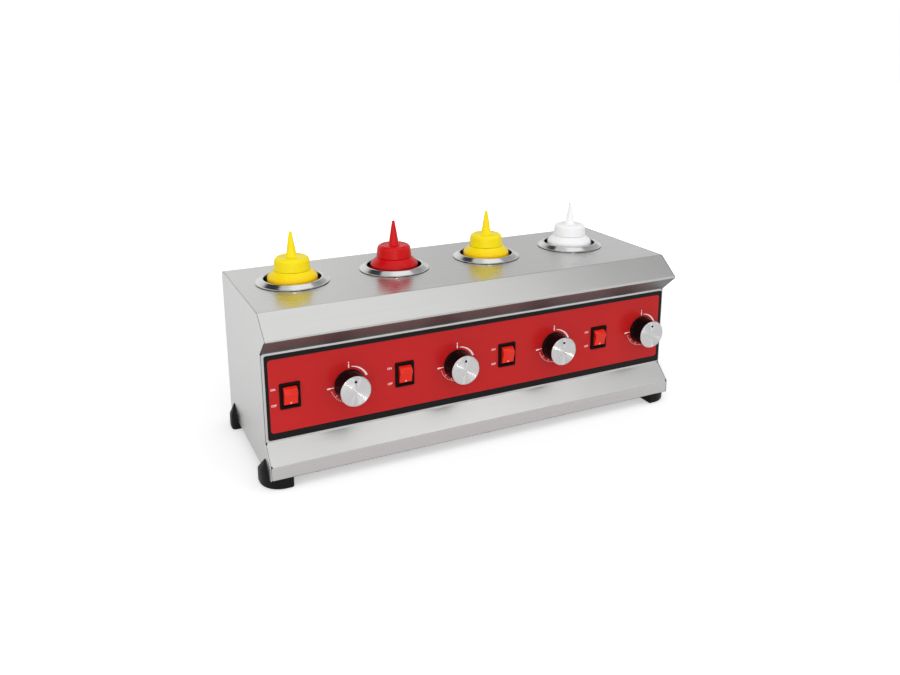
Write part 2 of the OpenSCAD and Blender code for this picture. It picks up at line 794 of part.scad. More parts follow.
module switch_housing(i) {
    x = switch_x(i);
    color(dark_plastic) difference() {
        union() {
            profile_y(bezel_y, film_y) translate([x, control_z]) rounded_rect(bezel_w, bezel_h, 1.5);
            box([x - switch_w / 2, x + switch_w / 2], [film_y - joint_lap, switch_back_y],
                [control_z - switch_h / 2, control_z + switch_h / 2]);
            for (k = [-1, 1])
                box([x + k * 5 - tab_t / 2, x + k * 5 + tab_t / 2],
                    [switch_back_y - joint_lap, switch_back_y + tab_len],
                    [control_z - tab_h / 2, control_z + tab_h / 2]);
        }
        // Round pocket that the rocker swings in
        intersection() {
            translate([x - window_w / 2, pivot_y, control_z]) rotate([0, 90, 0])
                cylinder(h = window_w, r = rocker_r + rocker_gap, $fn = 96);
            box([x - window_w, x + window_w], [bezel_y - rocker_r, pivot_y + rocker_r * 0.45],
                [control_z - bezel_h, control_z + bezel_h]);
        }
        translate([x - window_w / 2 - 1.4, pivot_y, control_z]) rotate([0, 90, 0])
            cylinder(h = window_w + 2.8, r = pivot_d / 2 + pivot_play, $fn = 32);
    }
}

// Rocker outline about its pivot at the origin, u along -Y and v along Z, untilted
module rocker_outline() {
    horn = rocker_r * [sin(horn_angle), cos(horn_angle)];
    sole = rocker_r * sin(horn_floor);
    intersection() {
        circle(rocker_r, $fn = 96);
        polygon([
            [sole, -rocker_r], [horn.x, -horn.y], [horn.x - valley, 0], [horn.x, horn.y],
            [sole, rocker_r], [-pivot_d, pivot_d * 1.5], [-pivot_d, -pivot_d * 1.5]
        ]);
    }
}

module rocker(i) {
    color(rocker_red) translate([switch_x(i), pivot_y, control_z]) rotate([rocker_tilt, 0, 0]) {
        // The outline's u axis is turned to face the front
        rotate([0, 0, 180]) profile_x(rocker_w) rocker_outline();
        translate([-rocker_w / 2 - 1.3, 0, 0]) rotate([0, 90, 0])
            cylinder(h = rocker_w + 2.6, r = pivot_d / 2, $fn = 32);
    }
}

// Bottles and caps

// Outer skin of a bottle, from the middle of its base to the lip of its neck
bottle_path = [
    [0, bottle_z],
    [bottle_r, bottle_z],
    [bottle_r, shoulder_z],
    [neck_r + 4.6, neck_z],
    [neck_r, neck_z],
    [neck_r, neck_top_z]
];
bottle_radii = [0, bottle_base_r - bottle_wall, shoulder_r, 0.6, 0.5, 0];

module bottle(i) {
    color(bottle_colours[i - 1]) translate([well_x(i), well_y, 0])
        rotate_extrude($fn = 96) polygon(sheet_outline(bottle_path, bottle_radii, bottle_wall));
}

module nozzle_cap(i) {
    base_r = cap_base_d / 2;
    top_r = cap_top_d / 2;
    tip_z = cap_top_z + nozzle_h;
    skin = [
        [neck_r + cap_gap, cap_z],
        [base_r, cap_z],
        [top_r, cap_top_z],
        [nozzle_base_d / 2, cap_top_z + 0.6],
        [nozzle_tip_d / 2, tip_z],
        [nozzle_hole_d / 2, tip_z]
    ];
    radii = [0, 0.8, cap_edge_r, 3, 0.6, 0];
    bore = [
        [nozzle_hole_d / 2, tip_z],
        [nozzle_base_d / 2 - cap_wall, cap_top_z],
        [nozzle_base_d / 2 - cap_wall, cap_ceiling_z],
        [neck_r + cap_gap, cap_ceiling_z]
    ];
    color(bottle_colours[i - 1]) translate([well_x(i), well_y, 0])
        rotate_extrude($fn = 96)
        polygon(concat(rounded_path(skin, radii), [bore[1], bore[2], bore[3]]));
}

// Feet

// A foot seen from above and drawn in by k, measured from its outer side and its end
function foot_outline(k) = rounded_path(
    [
        [foot_w - 4, k],
        [k, k],
        [k, foot_len - k],
        [foot_w - k, foot_len - k],
        [foot_w - k, k],
        [foot_w - 3.4, k]
    ],
    [0, foot_corner_r - k, 6 - k, max(2.5 - k, 0.4), max(2.5 - k, 0.4), 0]);

module foot_slice(z, h, k) translate([0, 0, z]) linear_extrude(height = h) polygon(foot_outline(k));

// Left front foot: a corner block under the cabinet with a fin up the side panel
module corner_foot() {
    e = foot_edge_r;
    screw_u = foot_bulge + side_x - foot_x;
    color(dark_plastic) translate([-side_x - foot_bulge, 0, 0]) difference() {
        union() {
            hull() {
                for (t = [0, 30, 60]) foot_slice(e * (1 - cos(t)), 0.3, e * (1 - sin(t)));
                foot_slice(e, foot_h - e, 0);
            }
            hull() {
                intersection() {
                    foot_slice(foot_h - 2, 6.5, 0.2);
                    box([0, foot_bulge], [0, foot_len], [0, 2 * foot_h]);
                }
                box([foot_bulge - 1.4, foot_bulge], [foot_mid - 1.2, foot_mid + 1.2],
                    [foot_h + fin_h - 1, foot_h + fin_h]);
            }
        }
        translate([screw_u, foot_mid, -cut]) cylinder(h = foot_bore_h + cut, r = foot_bore_r, $fn = 48);
        translate([screw_u, foot_mid, -cut]) cylinder(h = foot_h + 2 * cut, r = screw_hole_r, $fn = 32);
    }
}

module front_left_foot() translate([0, skirt_y + foot_recess, 0]) corner_foot();

module back_left_foot() translate([0, back_y - foot_recess, 0]) mirror([0, 1, 0]) corner_foot();

module front_right_foot() mirror([1, 0, 0]) front_left_foot();

module back_right_foot() mirror([1, 0, 0]) back_left_foot();

// Supply entry

module cord_gland() {
    seat = back_y - sheet_t;
    color(dark_plastic) difference() {
        union() {
            bar_y(gland_x, gland_z, back_inner_y - locknut_t - 2, seat + joint_lap, gland_r);
            bar_y(gland_x, gland_z, seat, seat + 6, gland_hex_r, $fn = 6);
            bar_y(gland_x, gland_z, seat + 6 - joint_lap, seat + 8, gland_r - 1);
            bar_y(gland_x, gland_z, seat + 8 - joint_lap, back_y + gland_reach - 5, gland_hex_r - 1, $fn = 6);
            translate([gland_x, back_y + gland_reach - 5 - joint_lap, gland_z]) rotate([-90, 0, 0])
                cylinder(h = 5 + joint_lap, r1 = gland_r + 1, r2 = gland_bore_d / 2 + 2);
        }
        bar_y(gland_x, gland_z, back_inner_y - locknut_t - 2 - cut, back_y + gland_reach + cut, gland_bore_d / 2);
    }
}

module gland_locknut() {
    color(dark_plastic) difference() {
        bar_y(gland_x, gland_z, back_inner_y - locknut_t, back_inner_y, gland_hex_r, $fn = 6);
        bar_y(gland_x, gland_z, back_inner_y - locknut_t - cut, back_inner_y + cut, gland_r + 0.05);
    }
}

module earth_stud() {
    seat = back_y - sheet_t;
    color(brass) {
        bar_y(earth_x, gland_z, back_inner_y - 4, back_inner_y, earth_r * 1.9, $fn = 6);
        bar_y(earth_x, gland_z, back_inner_y - joint_lap, seat + 11, earth_r);
        bar_y(earth_x, gland_z, seat, seat + 1, earth_r * 2.2);
        bar_y(earth_x, gland_z, seat + 1 - joint_lap, seat + 5, earth_r * 1.85, $fn = 6);
    }
}

block_w = 46;
block_d = 22;
block_h = 17;
block_y = back_inner_y - 52;

module terminal_block() {
    ways = 4;
    way_w = block_w / ways;
    color([0.9, 0.88, 0.8]) difference() {
        box([gland_x - block_w / 2, gland_x + block_w / 2], [block_y, block_y + block_d],
            [plate_top_z, plate_top_z + block_h]);
        for (k = [0:ways - 1], y = [block_y + 5, block_y + block_d - 5])
            translate([gland_x - block_w / 2 + (k + 0.5) * way_w, y, plate_top_z + 6])
                cylinder(h = block_h, r = 3, $fn = 32);
        for (k = [1:ways - 1])
            box([gland_x - block_w / 2 + k * way_w - 0.5, gland_x - block_w / 2 + k * way_w + 0.5],
                [block_y - cut, block_y + block_d + cut], [plate_top_z + 10, plate_top_z + block_h + cut]);
    }
}

// Loom along the base, with a lead up to every switch and thermostat
module wiring_harness() {
    loom_r = loom_d / 2;
    lead_r = lead_d / 2;
    loom_z = plate_top_z + loom_r;
    loom_y = switch_back_y + tab_len + 12;
    color([0.25, 0.25, 0.27]) {
        bent_rod([
            [gland_x, block_y, loom_z], [gland_x, loom_y, loom_z], [switch_x(1) - 12, loom_y, loom_z]
        ], loom_r);
        rod([gland_x, loom_y, loom_z], [max(gland_x, knob_x(4)) + 20, loom_y, loom_z], loom_r);
        for (i = STATIONS) {
            for (k = [-1, 1])
                bent_rod([
                    [switch_x(i) + k * 5, loom_y, loom_z], [switch_x(i) + k * 5, loom_y, control_z],
                    [switch_x(i) + k * 5, switch_back_y + tab_len, control_z]
                ], lead_r);
            bent_rod([
                [knob_x(i) + 12, loom_y, loom_z], [knob_x(i) + 12, loom_y, control_z - thermostat_h / 2 - 12],
                [knob_x(i) + 12, thermostat_back_y - 8 + tab_t / 2, control_z - thermostat_h / 2 - 12],
                [knob_x(i) + 12, thermostat_back_y - 8 + tab_t / 2, control_z - thermostat_h / 2 - 7]
            ], lead_r);
        }
    }
}

// Fasteners

module base_screws() {
    color(steel) for (p = base_screw_points) translate([p.x, p.y, 0]) {
        translate([0, 0, foot_h - head_t]) cylinder(h = head_t, r1 = head_r - 1, r2 = head_r, $fn = 32);
        translate([0, 0, foot_h - joint_lap]) cylinder(h = 2 * sheet_t + 4, r = screw_r, $fn = 32);
    }
}

module back_screw(x, z, seat) {
    translate([x, seat, z]) rotate([-90, 0, 0]) cylinder(h = head_t, r1 = head_r, r2 = head_r - 1, $fn = 32);
    bar_y(x, z, back_inner_y - sheet_t - 3, seat + joint_lap, screw_r, $fn = 32);
}

module back_screws() {
    color(steel) {
        for (p = back_screw_points) back_screw(p.x, p.y, back_y);
        for (p = low_screw_points) back_screw(p.x, p.y, back_y - sheet_t);
    }
}

module foot_screws() {
    color(steel) for (p = foot_points) translate([p.x, p.y, 0]) {
        translate([0, 0, foot_bore_h - head_t]) cylinder(h = head_t, r1 = head_r - 1, r2 = head_r, $fn = 32);
        translate([0, 0, foot_bore_h - joint_lap])
            cylinder(h = plate_top_z + 3 - foot_bore_h, r = screw_r, $fn = 32);
    }
}

top_front_cover();
left_side_panel();
right_side_panel();
back_panel();
base_plate();
control_overlay();
for (i = STATIONS) {
    well(i);
    band_heater(i);
    thermostat(i);
    switch_housing(i);
    knob(i);
    knob_face(i);
    spindle(i);
    rocker(i);
    bottle(i);
    nozzle_cap(i);
}
front_left_foot();
front_right_foot();
back_left_foot();
back_right_foot();
cord_gland();
gland_locknut();
earth_stud();
terminal_block();
wiring_harness();
base_screws();
back_screws();
foot_screws();
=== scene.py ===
import math

import bmesh
import bpy
import numpy as np
from mathutils import Matrix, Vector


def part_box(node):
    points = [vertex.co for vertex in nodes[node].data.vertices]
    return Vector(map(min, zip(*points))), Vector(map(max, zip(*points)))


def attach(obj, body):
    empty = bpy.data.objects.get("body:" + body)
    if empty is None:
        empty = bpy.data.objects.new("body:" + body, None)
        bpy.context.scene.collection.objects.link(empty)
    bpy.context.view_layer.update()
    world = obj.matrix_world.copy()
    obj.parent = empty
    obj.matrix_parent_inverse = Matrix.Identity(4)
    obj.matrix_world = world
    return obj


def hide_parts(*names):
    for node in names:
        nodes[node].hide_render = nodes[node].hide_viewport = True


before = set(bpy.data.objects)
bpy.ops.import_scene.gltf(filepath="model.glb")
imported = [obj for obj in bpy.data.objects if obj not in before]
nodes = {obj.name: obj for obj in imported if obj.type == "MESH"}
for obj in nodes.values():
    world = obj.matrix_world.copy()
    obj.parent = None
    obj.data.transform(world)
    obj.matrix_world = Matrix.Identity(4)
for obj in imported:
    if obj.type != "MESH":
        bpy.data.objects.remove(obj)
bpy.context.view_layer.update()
stations = (1, 2, 3, 4)
mm = 0.001
weld = 0.002 * mm  # points nearer than this are one
print("frame loaded:", len(nodes), "nodes")


# Lowest and highest corner of a CAD node, in millimetres
def corners(node):
    low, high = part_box(node)
    return np.array(low) * 1000, np.array(high) * 1000


# Middle of a CAD node's box, in millimetres
def middle(node):
    return np.mean(corners(node), axis=0)


wellAxis = {i: middle(f"well_{i}") for i in stations}
knobAxis = {i: middle(f"knob_{i}") for i in stations}
switchAxis = {i: middle(f"switch_housing_{i}") for i in stations}
filmLow, filmHigh = corners("control_overlay")
wellPitch = float(wellAxis[2][0] - wellAxis[1][0])
controlPitch = float(knobAxis[2][0] - knobAxis[1][0])
topZ = float(corners("top_front_cover")[1][2])
filmY = float(filmLow[1])
controlZ = float(knobAxis[1][2])

# Camera, fitted to the edges of the cabinet in the 900 x 675 photograph
view = {"lens": 33.97, "sensor": 36.0, "place": (-0.50404, -1.04545, 0.5470), "yaw": 25.69, "pitch": 14.58,
        "roll": -0.15, "shiftY": -0.1}
lens = bpy.data.cameras.new("camera")
lens.lens, lens.sensor_width, lens.shift_y = view["lens"], view["sensor"], view["shiftY"]
camera = bpy.data.objects.new("camera", lens)
bpy.context.scene.collection.objects.link(camera)
turns = [Matrix.Rotation(math.radians(angle), 4, axis)
         for angle, axis in ((-view["yaw"], "Z"), (90 - view["pitch"], "X"), (view["roll"], "Z"))]
camera.matrix_world = Matrix.Translation(view["place"]) @ turns[0] @ turns[1] @ turns[2]
bpy.context.scene.camera = camera
bpy.context.scene.view_settings.view_transform = "Standard"
print("camera placed")


# Colour from the 0 to 255 numbers of a screen: each is taken to linear light
def screen(r, g, b):
    c = np.array([r, g, b]) / 255
    linear = np.where(c <= 0.04045, c / 12.92, ((c + 0.055) / 1.055) ** 2.4)
    return (*linear.tolist(), 1.0)


# Wraps one output socket. Operators on it add Math nodes, with a plain number on either side.
class Wire:
    def __init__(self, sheet, socket):
        self.sheet, self.socket = sheet, socket

    def calc(self, operation, *values):
        return self.sheet.node("ShaderNodeMath", {"operation": operation}, values)

    def __add__(self, other):
        return self.calc("ADD", self, other)

    def __radd__(self, other):
        return self.calc("ADD", other, self)

    def __sub__(self, other):
        return self.calc("SUBTRACT", self, other)

    def __rsub__(self, other):
        return self.calc("SUBTRACT", other, self)

    def __mul__(self, other):
        return self.calc("MULTIPLY", self, other)

    def __rmul__(self, other):
        return self.calc("MULTIPLY", other, self)

    def __truediv__(self, other):
        return self.calc("DIVIDE", self, other)

    def __rtruediv__(self, other):
        return self.calc("DIVIDE", other, self)

    def __pow__(self, other):
        return self.calc("POWER", self, other)

    def __mod__(self, other):
        return self.calc("FLOORED_MODULO", self, other)

    def __abs__(self):
        return self.calc("ABSOLUTE", self)


# The nodes of one material or of the world
class NodeSheet:
    def __init__(self, owner):
        owner.use_nodes = True
        self.nodes, self.links = owner.node_tree.nodes, owner.node_tree.links
        self.nodes.clear()

    # Any node: its type, its settings, which are set first, its sockets' values or links, and which output
    def node(self, kind, settings=None, values=None, give=0):
        made = self.nodes.new(kind)
        for name, value in (settings or {}).items():
            setattr(made, name, value)
        pairs = values.items() if isinstance(values, dict) else enumerate(values or ())
        for name, value in pairs:
            if isinstance(value, Wire):
                self.links.new(value.socket, made.inputs[name])
            else:
                made.inputs[name].default_value = value
        return Wire(self, made.outputs[give]) if made.outputs else None

    # Place on the piece in millimetres, as x, y and z
    def place(self):
        where = self.node("ShaderNodeTexCoord", give="Object")
        return self.parts(self.vectors("MULTIPLY", where, (1000, 1000, 1000)))

    def parts(self, vector):
        split = self.node("ShaderNodeSeparateXYZ", None, [vector])
        return [Wire(self, socket) for socket in split.socket.node.outputs]

    def vector(self, x, y, z):
        return self.node("ShaderNodeCombineXYZ", None, [x, y, z])

    def vectors(self, operation, *values, give=0):
        return self.node("ShaderNodeVectorMath", {"operation": operation}, values, give)

    def scaled(self, vector, amount):
        return self.node("ShaderNodeVectorMath", {"operation": "SCALE"}, {0: vector, "Scale": amount})

    # Sockets 6 and 7 of a Mix node are its colours, and output 2 is the mixed one
    def mixed(self, factor, first, second):
        return self.node("ShaderNodeMix", {"data_type": "RGBA"}, {0: factor, 6: first, 7: second}, 2)

    def grey(self, value):
        return self.vector(value, value, value)

    # Noise of the given grain in cycles per millimetre along x, y and z, from 0 to 1
    def noise(self, x, y, z, grain, detail=2.0):
        return self.node("ShaderNodeTexNoise", None, {
            "Vector": self.vector(x * grain[0], y * grain[1], z * grain[2]), "Scale": 1.0, "Detail": detail})

    # 0 below low, 1 above high, and a soft step between
    def step(self, value, low, high):
        return self.node("ShaderNodeMapRange", {"interpolation_type": "SMOOTHSTEP"},
                         [value, low, high, 0.0, 1.0])

    def least(self, *values):
        found = values[0]
        for value in values[1:]:
            found = self.node("ShaderNodeMath", {"operation": "MINIMUM"}, [found, value])
        return found

    def most(self, *values):
        found = values[0]
        for value in values[1:]:
            found = self.node("ShaderNodeMath", {"operation": "MAXIMUM"}, [found, value])
        return found

    def length(self, x, y):
        return (x * x + y * y) ** 0.5

    # Ink that ends at distance 0, with an edge as soft as given
    def ink(self, distance, soft=0.12):
        return self.node("ShaderNodeMath", {"operation": "SUBTRACT", "use_clamp": True},
                         [0.5, distance / soft])

    def bump(self, height, strength, depth):
        return self.node("ShaderNodeBump", None, {
            "Height": height, "Strength": strength, "Distance": depth * mm})

    def shade(self, values):
        shader = self.node("ShaderNodeBsdfPrincipled", None, values)
        self.node("ShaderNodeOutputMaterial", None, {"Surface": shader})


def newSheet(name):
    material = bpy.data.materials.new(name)
    return material, NodeSheet(material)


# World: white as the camera sees it. The object sees a white backdrop, which greys towards the right and dims
# overhead. Each flag darkens a round patch: its direction, the cosines where it starts and is full, its darkness
studio = {"ambient": 0.88, "greyLow": 0.74, "greyHigh": 0.88, "greyFrom": 0.17, "greyTo": 0.45,
          "back": 0.6, "backFrom": 0.48, "backTo": 0.62,
          "overhead": 0.5, "overheadFrom": 0.4, "overheadTo": 0.75,
          "flags": (((0.74, 0.46, 0.50), 0.92, 0.985, 0.35), ((-0.34, 0.34, 0.88), 0.87, 0.95, 0.9),
                    ((-0.41, -0.79, 0.45), 0.84, 0.92, 0.6))}
world = bpy.data.worlds.new("studio")
bpy.context.scene.world = world
sheet = NodeSheet(world)
direction = sheet.node("ShaderNodeTexCoord", give="Generated")
dirX, dirY, dirZ = sheet.parts(direction)
lightPath = sheet.node("ShaderNodeLightPath").socket.node.outputs
isCamera = Wire(sheet, lightPath["Is Camera Ray"])
isGlossy = Wire(sheet, lightPath["Is Glossy Ray"])
isTransmission = Wire(sheet, lightPath["Is Transmission Ray"])
high = sheet.step(dirZ, studio["overheadFrom"], studio["overheadTo"])
grey = (1 - studio["greyLow"]) + high * (studio["greyLow"] - studio["greyHigh"])
rightness = (sheet.step(dirX, studio["greyFrom"], studio["greyTo"])
             - sheet.step(dirX, studio["backFrom"], studio["backTo"]) * studio["back"])
wall = (1 - rightness * grey) * (1 - high * (1 - studio["overhead"]))
for flag, start, full, dark in studio["flags"]:
    facing = sheet.vectors("DOT_PRODUCT", sheet.vectors("NORMALIZE", direction), flag, give=1)
    wall = wall * (1 - sheet.step(facing, start, full) * dark)
seen = sheet.least(isCamera + isGlossy + isTransmission, 1.0)
shine = sheet.most(isCamera, wall * (studio["ambient"] + seen * (1 - studio["ambient"])))
backdrop = sheet.node("ShaderNodeBackground", None, {"Color": sheet.grey(shine), "Strength": 1.0})
sheet.node("ShaderNodeOutputWorld", None, {"Surface": backdrop})

# Softboxes: where each stands in metres, its tilt from facing down, its turn, its size and its radiance
softboxes = {
    "overhead": {"place": (-0.15, -0.35, 1.9), "tilt": 0.0, "turn": 33.0, "size": (2.3, 1.9), "radiance": 0.75},
    "strip": {"place": (1.03, -1.17, 1.9), "tilt": 0.0, "turn": 0.0, "size": (1.1, 0.55), "radiance": 2.0},
    "spark": {"place": (-0.8, -3.0, 0.4), "tilt": 84.0, "turn": -14.0, "size": (0.28, 0.28), "radiance": 18.0},
    "glint": {"place": (1.7, -2.2, 1.5), "tilt": 63.0, "turn": 38.0, "size": (0.5, 0.5), "radiance": 1.6},
    "key": {"place": (-1.1, -2.1, 1.35), "tilt": 62.0, "turn": -29.0, "size": (2.9, 2.9), "radiance": 1.0},
}
for name, box in softboxes.items():
    lamp = bpy.data.lights.new(name, "AREA")
    lamp.shape, lamp.size, lamp.size_y = "RECTANGLE", *box["size"]
    lamp.energy = box["radiance"] * math.pi * box["size"][0] * box["size"][1]
    light = bpy.data.objects.new(name, lamp)
    light.location = box["place"]
    light.rotation_euler = (math.radians(box["tilt"]), 0.0, math.radians(box["turn"]))
    bpy.context.scene.collection.objects.link(light)

# Floor: white matt paper, lifted to white where the camera sees it, so that only shadows show. The lift grows
# from "near" to "far" between two distances, and reflections see a floor that is lighter on the left
floorLook = {"half": 7.0, "cells": 8, "colour": (0.8, 0.8, 0.8, 1.0), "near": 0.44, "far": 1.3,
             "nearTo": 500.0, "farFrom": 1600.0, "glossLeft": 0.46, "glossRight": 0.24,
             "leftFrom": 250.0, "leftTo": 600.0}
material, sheet = newSheet("floor_paper")
lightPath = sheet.node("ShaderNodeLightPath").socket.node.outputs
x, y, z = sheet.place()
away = sheet.step(sheet.length(x, y), floorLook["nearTo"], floorLook["farFrom"])
leftness = sheet.step(-1 * x, floorLook["leftFrom"], floorLook["leftTo"])
toCamera = floorLook["near"] + away * (floorLook["far"] - floorLook["near"])
toGloss = floorLook["glossRight"] + leftness * (floorLook["glossLeft"] - floorLook["glossRight"])
seen = (Wire(sheet, lightPath["Is Camera Ray"]) * toCamera
        + toGloss * (Wire(sheet, lightPath["Is Glossy Ray"]) + Wire(sheet, lightPath["Is Transmission Ray"])))
matt = sheet.node("ShaderNodeBsdfDiffuse", None, {"Color": floorLook["colour"]})
lift = sheet.node("ShaderNodeEmission", None, {"Color": sheet.grey(seen), "Strength": 1.0})
both = sheet.node("ShaderNodeAddShader", None, [matt, lift])
sheet.node("ShaderNodeOutputMaterial", None, {"Surface": both})
count = floorLook["cells"] + 1
gridX, gridY = np.meshgrid(*[np.linspace(-floorLook["half"], floorLook["half"], count)] * 2)
mesh = bpy.data.meshes.new("floor")
at = np.arange(count * (count - 1)).reshape(-1, count)[:, :-1].ravel()
mesh.from_pydata(np.stack([gridX, gridY, 0 * gridX], -1).reshape(-1, 3).tolist(), [],
                 np.stack([at, at + 1, at + count + 1, at + count], -1).tolist())
mesh.materials.append(material)
floor = bpy.data.objects.new("floor", mesh)
bpy.context.scene.collection.objects.link(floor)
print("stage set")


# Faces of a grid of rows x columns points whose columns run round; closed rows join the last to the first
def gridFaces(rows, columns, closeRows=False):
    r, c = np.meshgrid(np.arange(rows if closeRows else rows - 1), np.arange(columns), indexing="ij")
    r1, c1 = (r + 1) % rows, (c + 1) % columns
    faces = [r * columns + c, r1 * columns + c, r1 * columns + c1, r * columns + c1]
    return np.stack(faces, -1).reshape(-1, 4)


# Path whose inner corners are arcs: the arc at b touches both legs, with its centre on their bisector
def roundedPath(points, radii, steps=8):
    points = np.array(points, float)
    parts = [points[:1]]
    for a, b, c, r in zip(points[:-2], points[1:-1], points[2:], radii):
        u, v = (a - b) / np.linalg.norm(a - b), (c - b) / np.linalg.norm(c - b)
        half = math.acos(float(u @ v)) / 2
        centre = b + (u + v) / np.linalg.norm(u + v) * r / math.sin(half)
        p, q = b + u * r / math.tan(half) - centre, b + v * r / math.tan(half) - centre
        start = math.atan2(p[1], p[0])
        swing = (math.atan2(q[1], q[0]) - start + 3 * math.pi) % (2 * math.pi) - math.pi
        t = start + swing * np.linspace(0, 1, steps + 1)
        parts.append(centre + r * np.stack([np.cos(t), np.sin(t)], -1))
    return np.concatenate(parts + [points[-1:]])


# The path with points added, so that none lie further apart than the gap
def filled(path, gap):
    parts = [np.linspace(a, b, max(2, int(np.ceil(np.linalg.norm(b - a) / gap)) + 1))[:-1]
             for a, b in zip(path[:-1], path[1:])]
    return np.concatenate(parts + [path[-1:]])


# Turned surface: the path's point (r, h) goes to centre + (r + swell) (cos a, sin a) across the axis and to h
# along it. Where the axis is y, the sine goes along x and the cosine up z
def turned(path, centre, axis="z", steps=96, swell=None):
    a = np.linspace(0, 2 * math.pi, steps, endpoint=False)[None, :]
    r, h = path[:, :1] + 0 * a, path[:, 1:2] + 0 * a
    r = r + (swell(r, h, a) if swell else 0)
    if axis == "z":
        points = np.stack([centre[0] + r * np.cos(a), centre[1] + r * np.sin(a), h], -1)
    else:
        points = np.stack([centre[0] + r * np.sin(a), h, centre[2] + r * np.cos(a)], -1)
    closed = path[0, 0] > 1e-6 or path[-1, 0] > 1e-6
    return points.reshape(-1, 3), gridFaces(len(path), steps, closed)


# Ring of a rounded rectangle with half sizes w and h: each corner's centre plus r (cos a, sin a)
def cornerRing(w, h, r, steps=6):
    a = np.linspace(0, 90, steps)[None, :] + 90 * np.arange(4)[:, None]
    sx, sz = np.array([1, -1, -1, 1])[:, None], np.array([1, 1, -1, -1])[:, None]
    t = np.radians(a)
    return np.stack([sx * (w - r) + r * np.cos(t), sz * (h - r) + r * np.sin(t)], -1).reshape(-1, 2)


# Rings (x, z) laid at depths y about a centre and skinned; a closed skin joins the last ring to the first
def skinned(rings, depths, centre, closed=False):
    points = np.stack([np.stack([centre[0] + ring[:, 0], 0 * ring[:, 0] + y, centre[2] + ring[:, 1]], -1)
                       for ring, y in zip(rings, depths)])
    rows, columns = points.shape[:2]
    faces = gridFaces(rows, columns, closed).tolist()
    if not closed:
        faces += [list(range(columns)), list(range((rows - 1) * columns, rows * columns))]
    return points.reshape(-1, 3), faces


# Several shapes as one: each shape's faces count on from the points before it
def together(*shapes):
    counts = np.cumsum([0] + [len(points) for points, _ in shapes])
    faces = [[int(k) + int(count) for k in face] for (_, some), count in zip(shapes, counts) for face in some]
    return np.concatenate([points for points, _ in shapes]), faces


# The same shape at several places
def repeated(shape, places):
    return together(*[(shape[0] + np.array(place), shape[1]) for place in places])


# Puts a shape in millimetres into a new object that rides on a body and stands for CAD nodes
def addPiece(name, shape, material, body, replaced=(), sharp=32):
    points, faces = shape
    if isinstance(faces, np.ndarray):
        faces = faces.tolist()
    mesh = bpy.data.meshes.new(name)
    mesh.from_pydata((np.asarray(points) * mm).tolist(), [], faces)
    work = bmesh.new()
    work.from_mesh(mesh)
    bmesh.ops.remove_doubles(work, verts=work.verts, dist=weld)
    bmesh.ops.dissolve_degenerate(work, edges=work.edges, dist=weld / 2)
    bmesh.ops.recalc_face_normals(work, faces=work.faces)
    work.to_mesh(mesh)
    work.free()
    mesh.polygons.foreach_set("use_smooth", np.ones(len(mesh.polygons), bool))
    mesh.set_sharp_from_angle(angle=math.radians(sharp))
    mesh.materials.append(material)
    piece = bpy.data.objects.new(name, mesh)
    bpy.context.scene.collection.objects.link(piece)
    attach(piece, body)
    if replaced:
        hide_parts(*replaced)


# Gives CAD nodes their material
def dress(material, *names):
    for name in names:
        for slot in nodes[name].material_slots:
            slot.material = material


# Brushed sheet: normal = unit(N + s (n - 1/2) (N x brush) + w wave), with n a noise drawn out along the brush,
# so that light smears across the brush lines and stays sharp along them. Slanted faces are a little coarser, the
# low ones most, and faces that look down are rougher and get a painted shade, a darker base colour
sheetLook = {"colour": (0.57, 0.57, 0.565), "rough": 0.265, "smear": 0.34, "line": 5.5, "run": 0.016,
             "smudge": 0.04, "wave": 0.003, "streak": 0.12, "dull": 0.36, "dullRough": 0.2,
             "slantRough": 0.07, "lowRough": 0.11, "lowTo": 60.0, "highFrom": 80.0}


def brushedSheet(name, look, brush):
    material, sheet = newSheet(name)
    x, y, z = sheet.place()
    grain = [look["run"] if axis == brush else look["line"] for axis in "xyz"]
    line = sheet.noise(x, y, z, grain, 3.0)
    streak = sheet.noise(x, y, z, [value * 0.2 for value in grain], 2.0)
    smudge = sheet.noise(x, y, z, (0.012, 0.012, 0.012), 4.0)
    normal = sheet.node("ShaderNodeNewGeometry", give="Normal")
    up = sheet.parts(normal)[2]
    below = sheet.step(-1 * up, 0.3, 0.6)
    slant = sheet.step(up, 0.5, 0.6) - sheet.step(up, 0.86, 0.96)
    coarse = look["lowRough"] - sheet.step(z, look["lowTo"], look["highFrom"]) * (
        look["lowRough"] - look["slantRough"])
    across = sheet.vectors("CROSS_PRODUCT", normal, [float(axis == brush) for axis in "xyz"])
    wave = sheet.node("ShaderNodeTexNoise", None, {
        "Vector": sheet.vector(x * 0.006, y * 0.006, z * 0.006), "Detail": 1.0, "Scale": 1.0}, "Color")
    wave = sheet.scaled(sheet.vectors("SUBTRACT", wave, (0.5, 0.5, 0.5)), look["wave"])
    leaned = sheet.vectors("ADD", normal, sheet.scaled(across, (line - 0.5) * look["smear"]))
    tone = 1 + (streak - 0.5) * look["streak"] + (smudge - 0.5) * 0.04
    # Painted shade: faces that look down get their base colour darkened by this factor
    tone = tone * (1 - below * (1 - look["dull"]))
    sheet.shade({
        "Base Color": sheet.vectors("MULTIPLY", look["colour"], sheet.grey(tone)), "Metallic": 1.0,
        "Roughness": (look["rough"] + (smudge - 0.5) * look["smudge"] + (streak - 0.5) * 0.05
                      + below * look["dullRough"] + slant * coarse),
        "Normal": sheet.vectors("NORMALIZE", sheet.vectors("ADD", leaned, wave))})
    return material


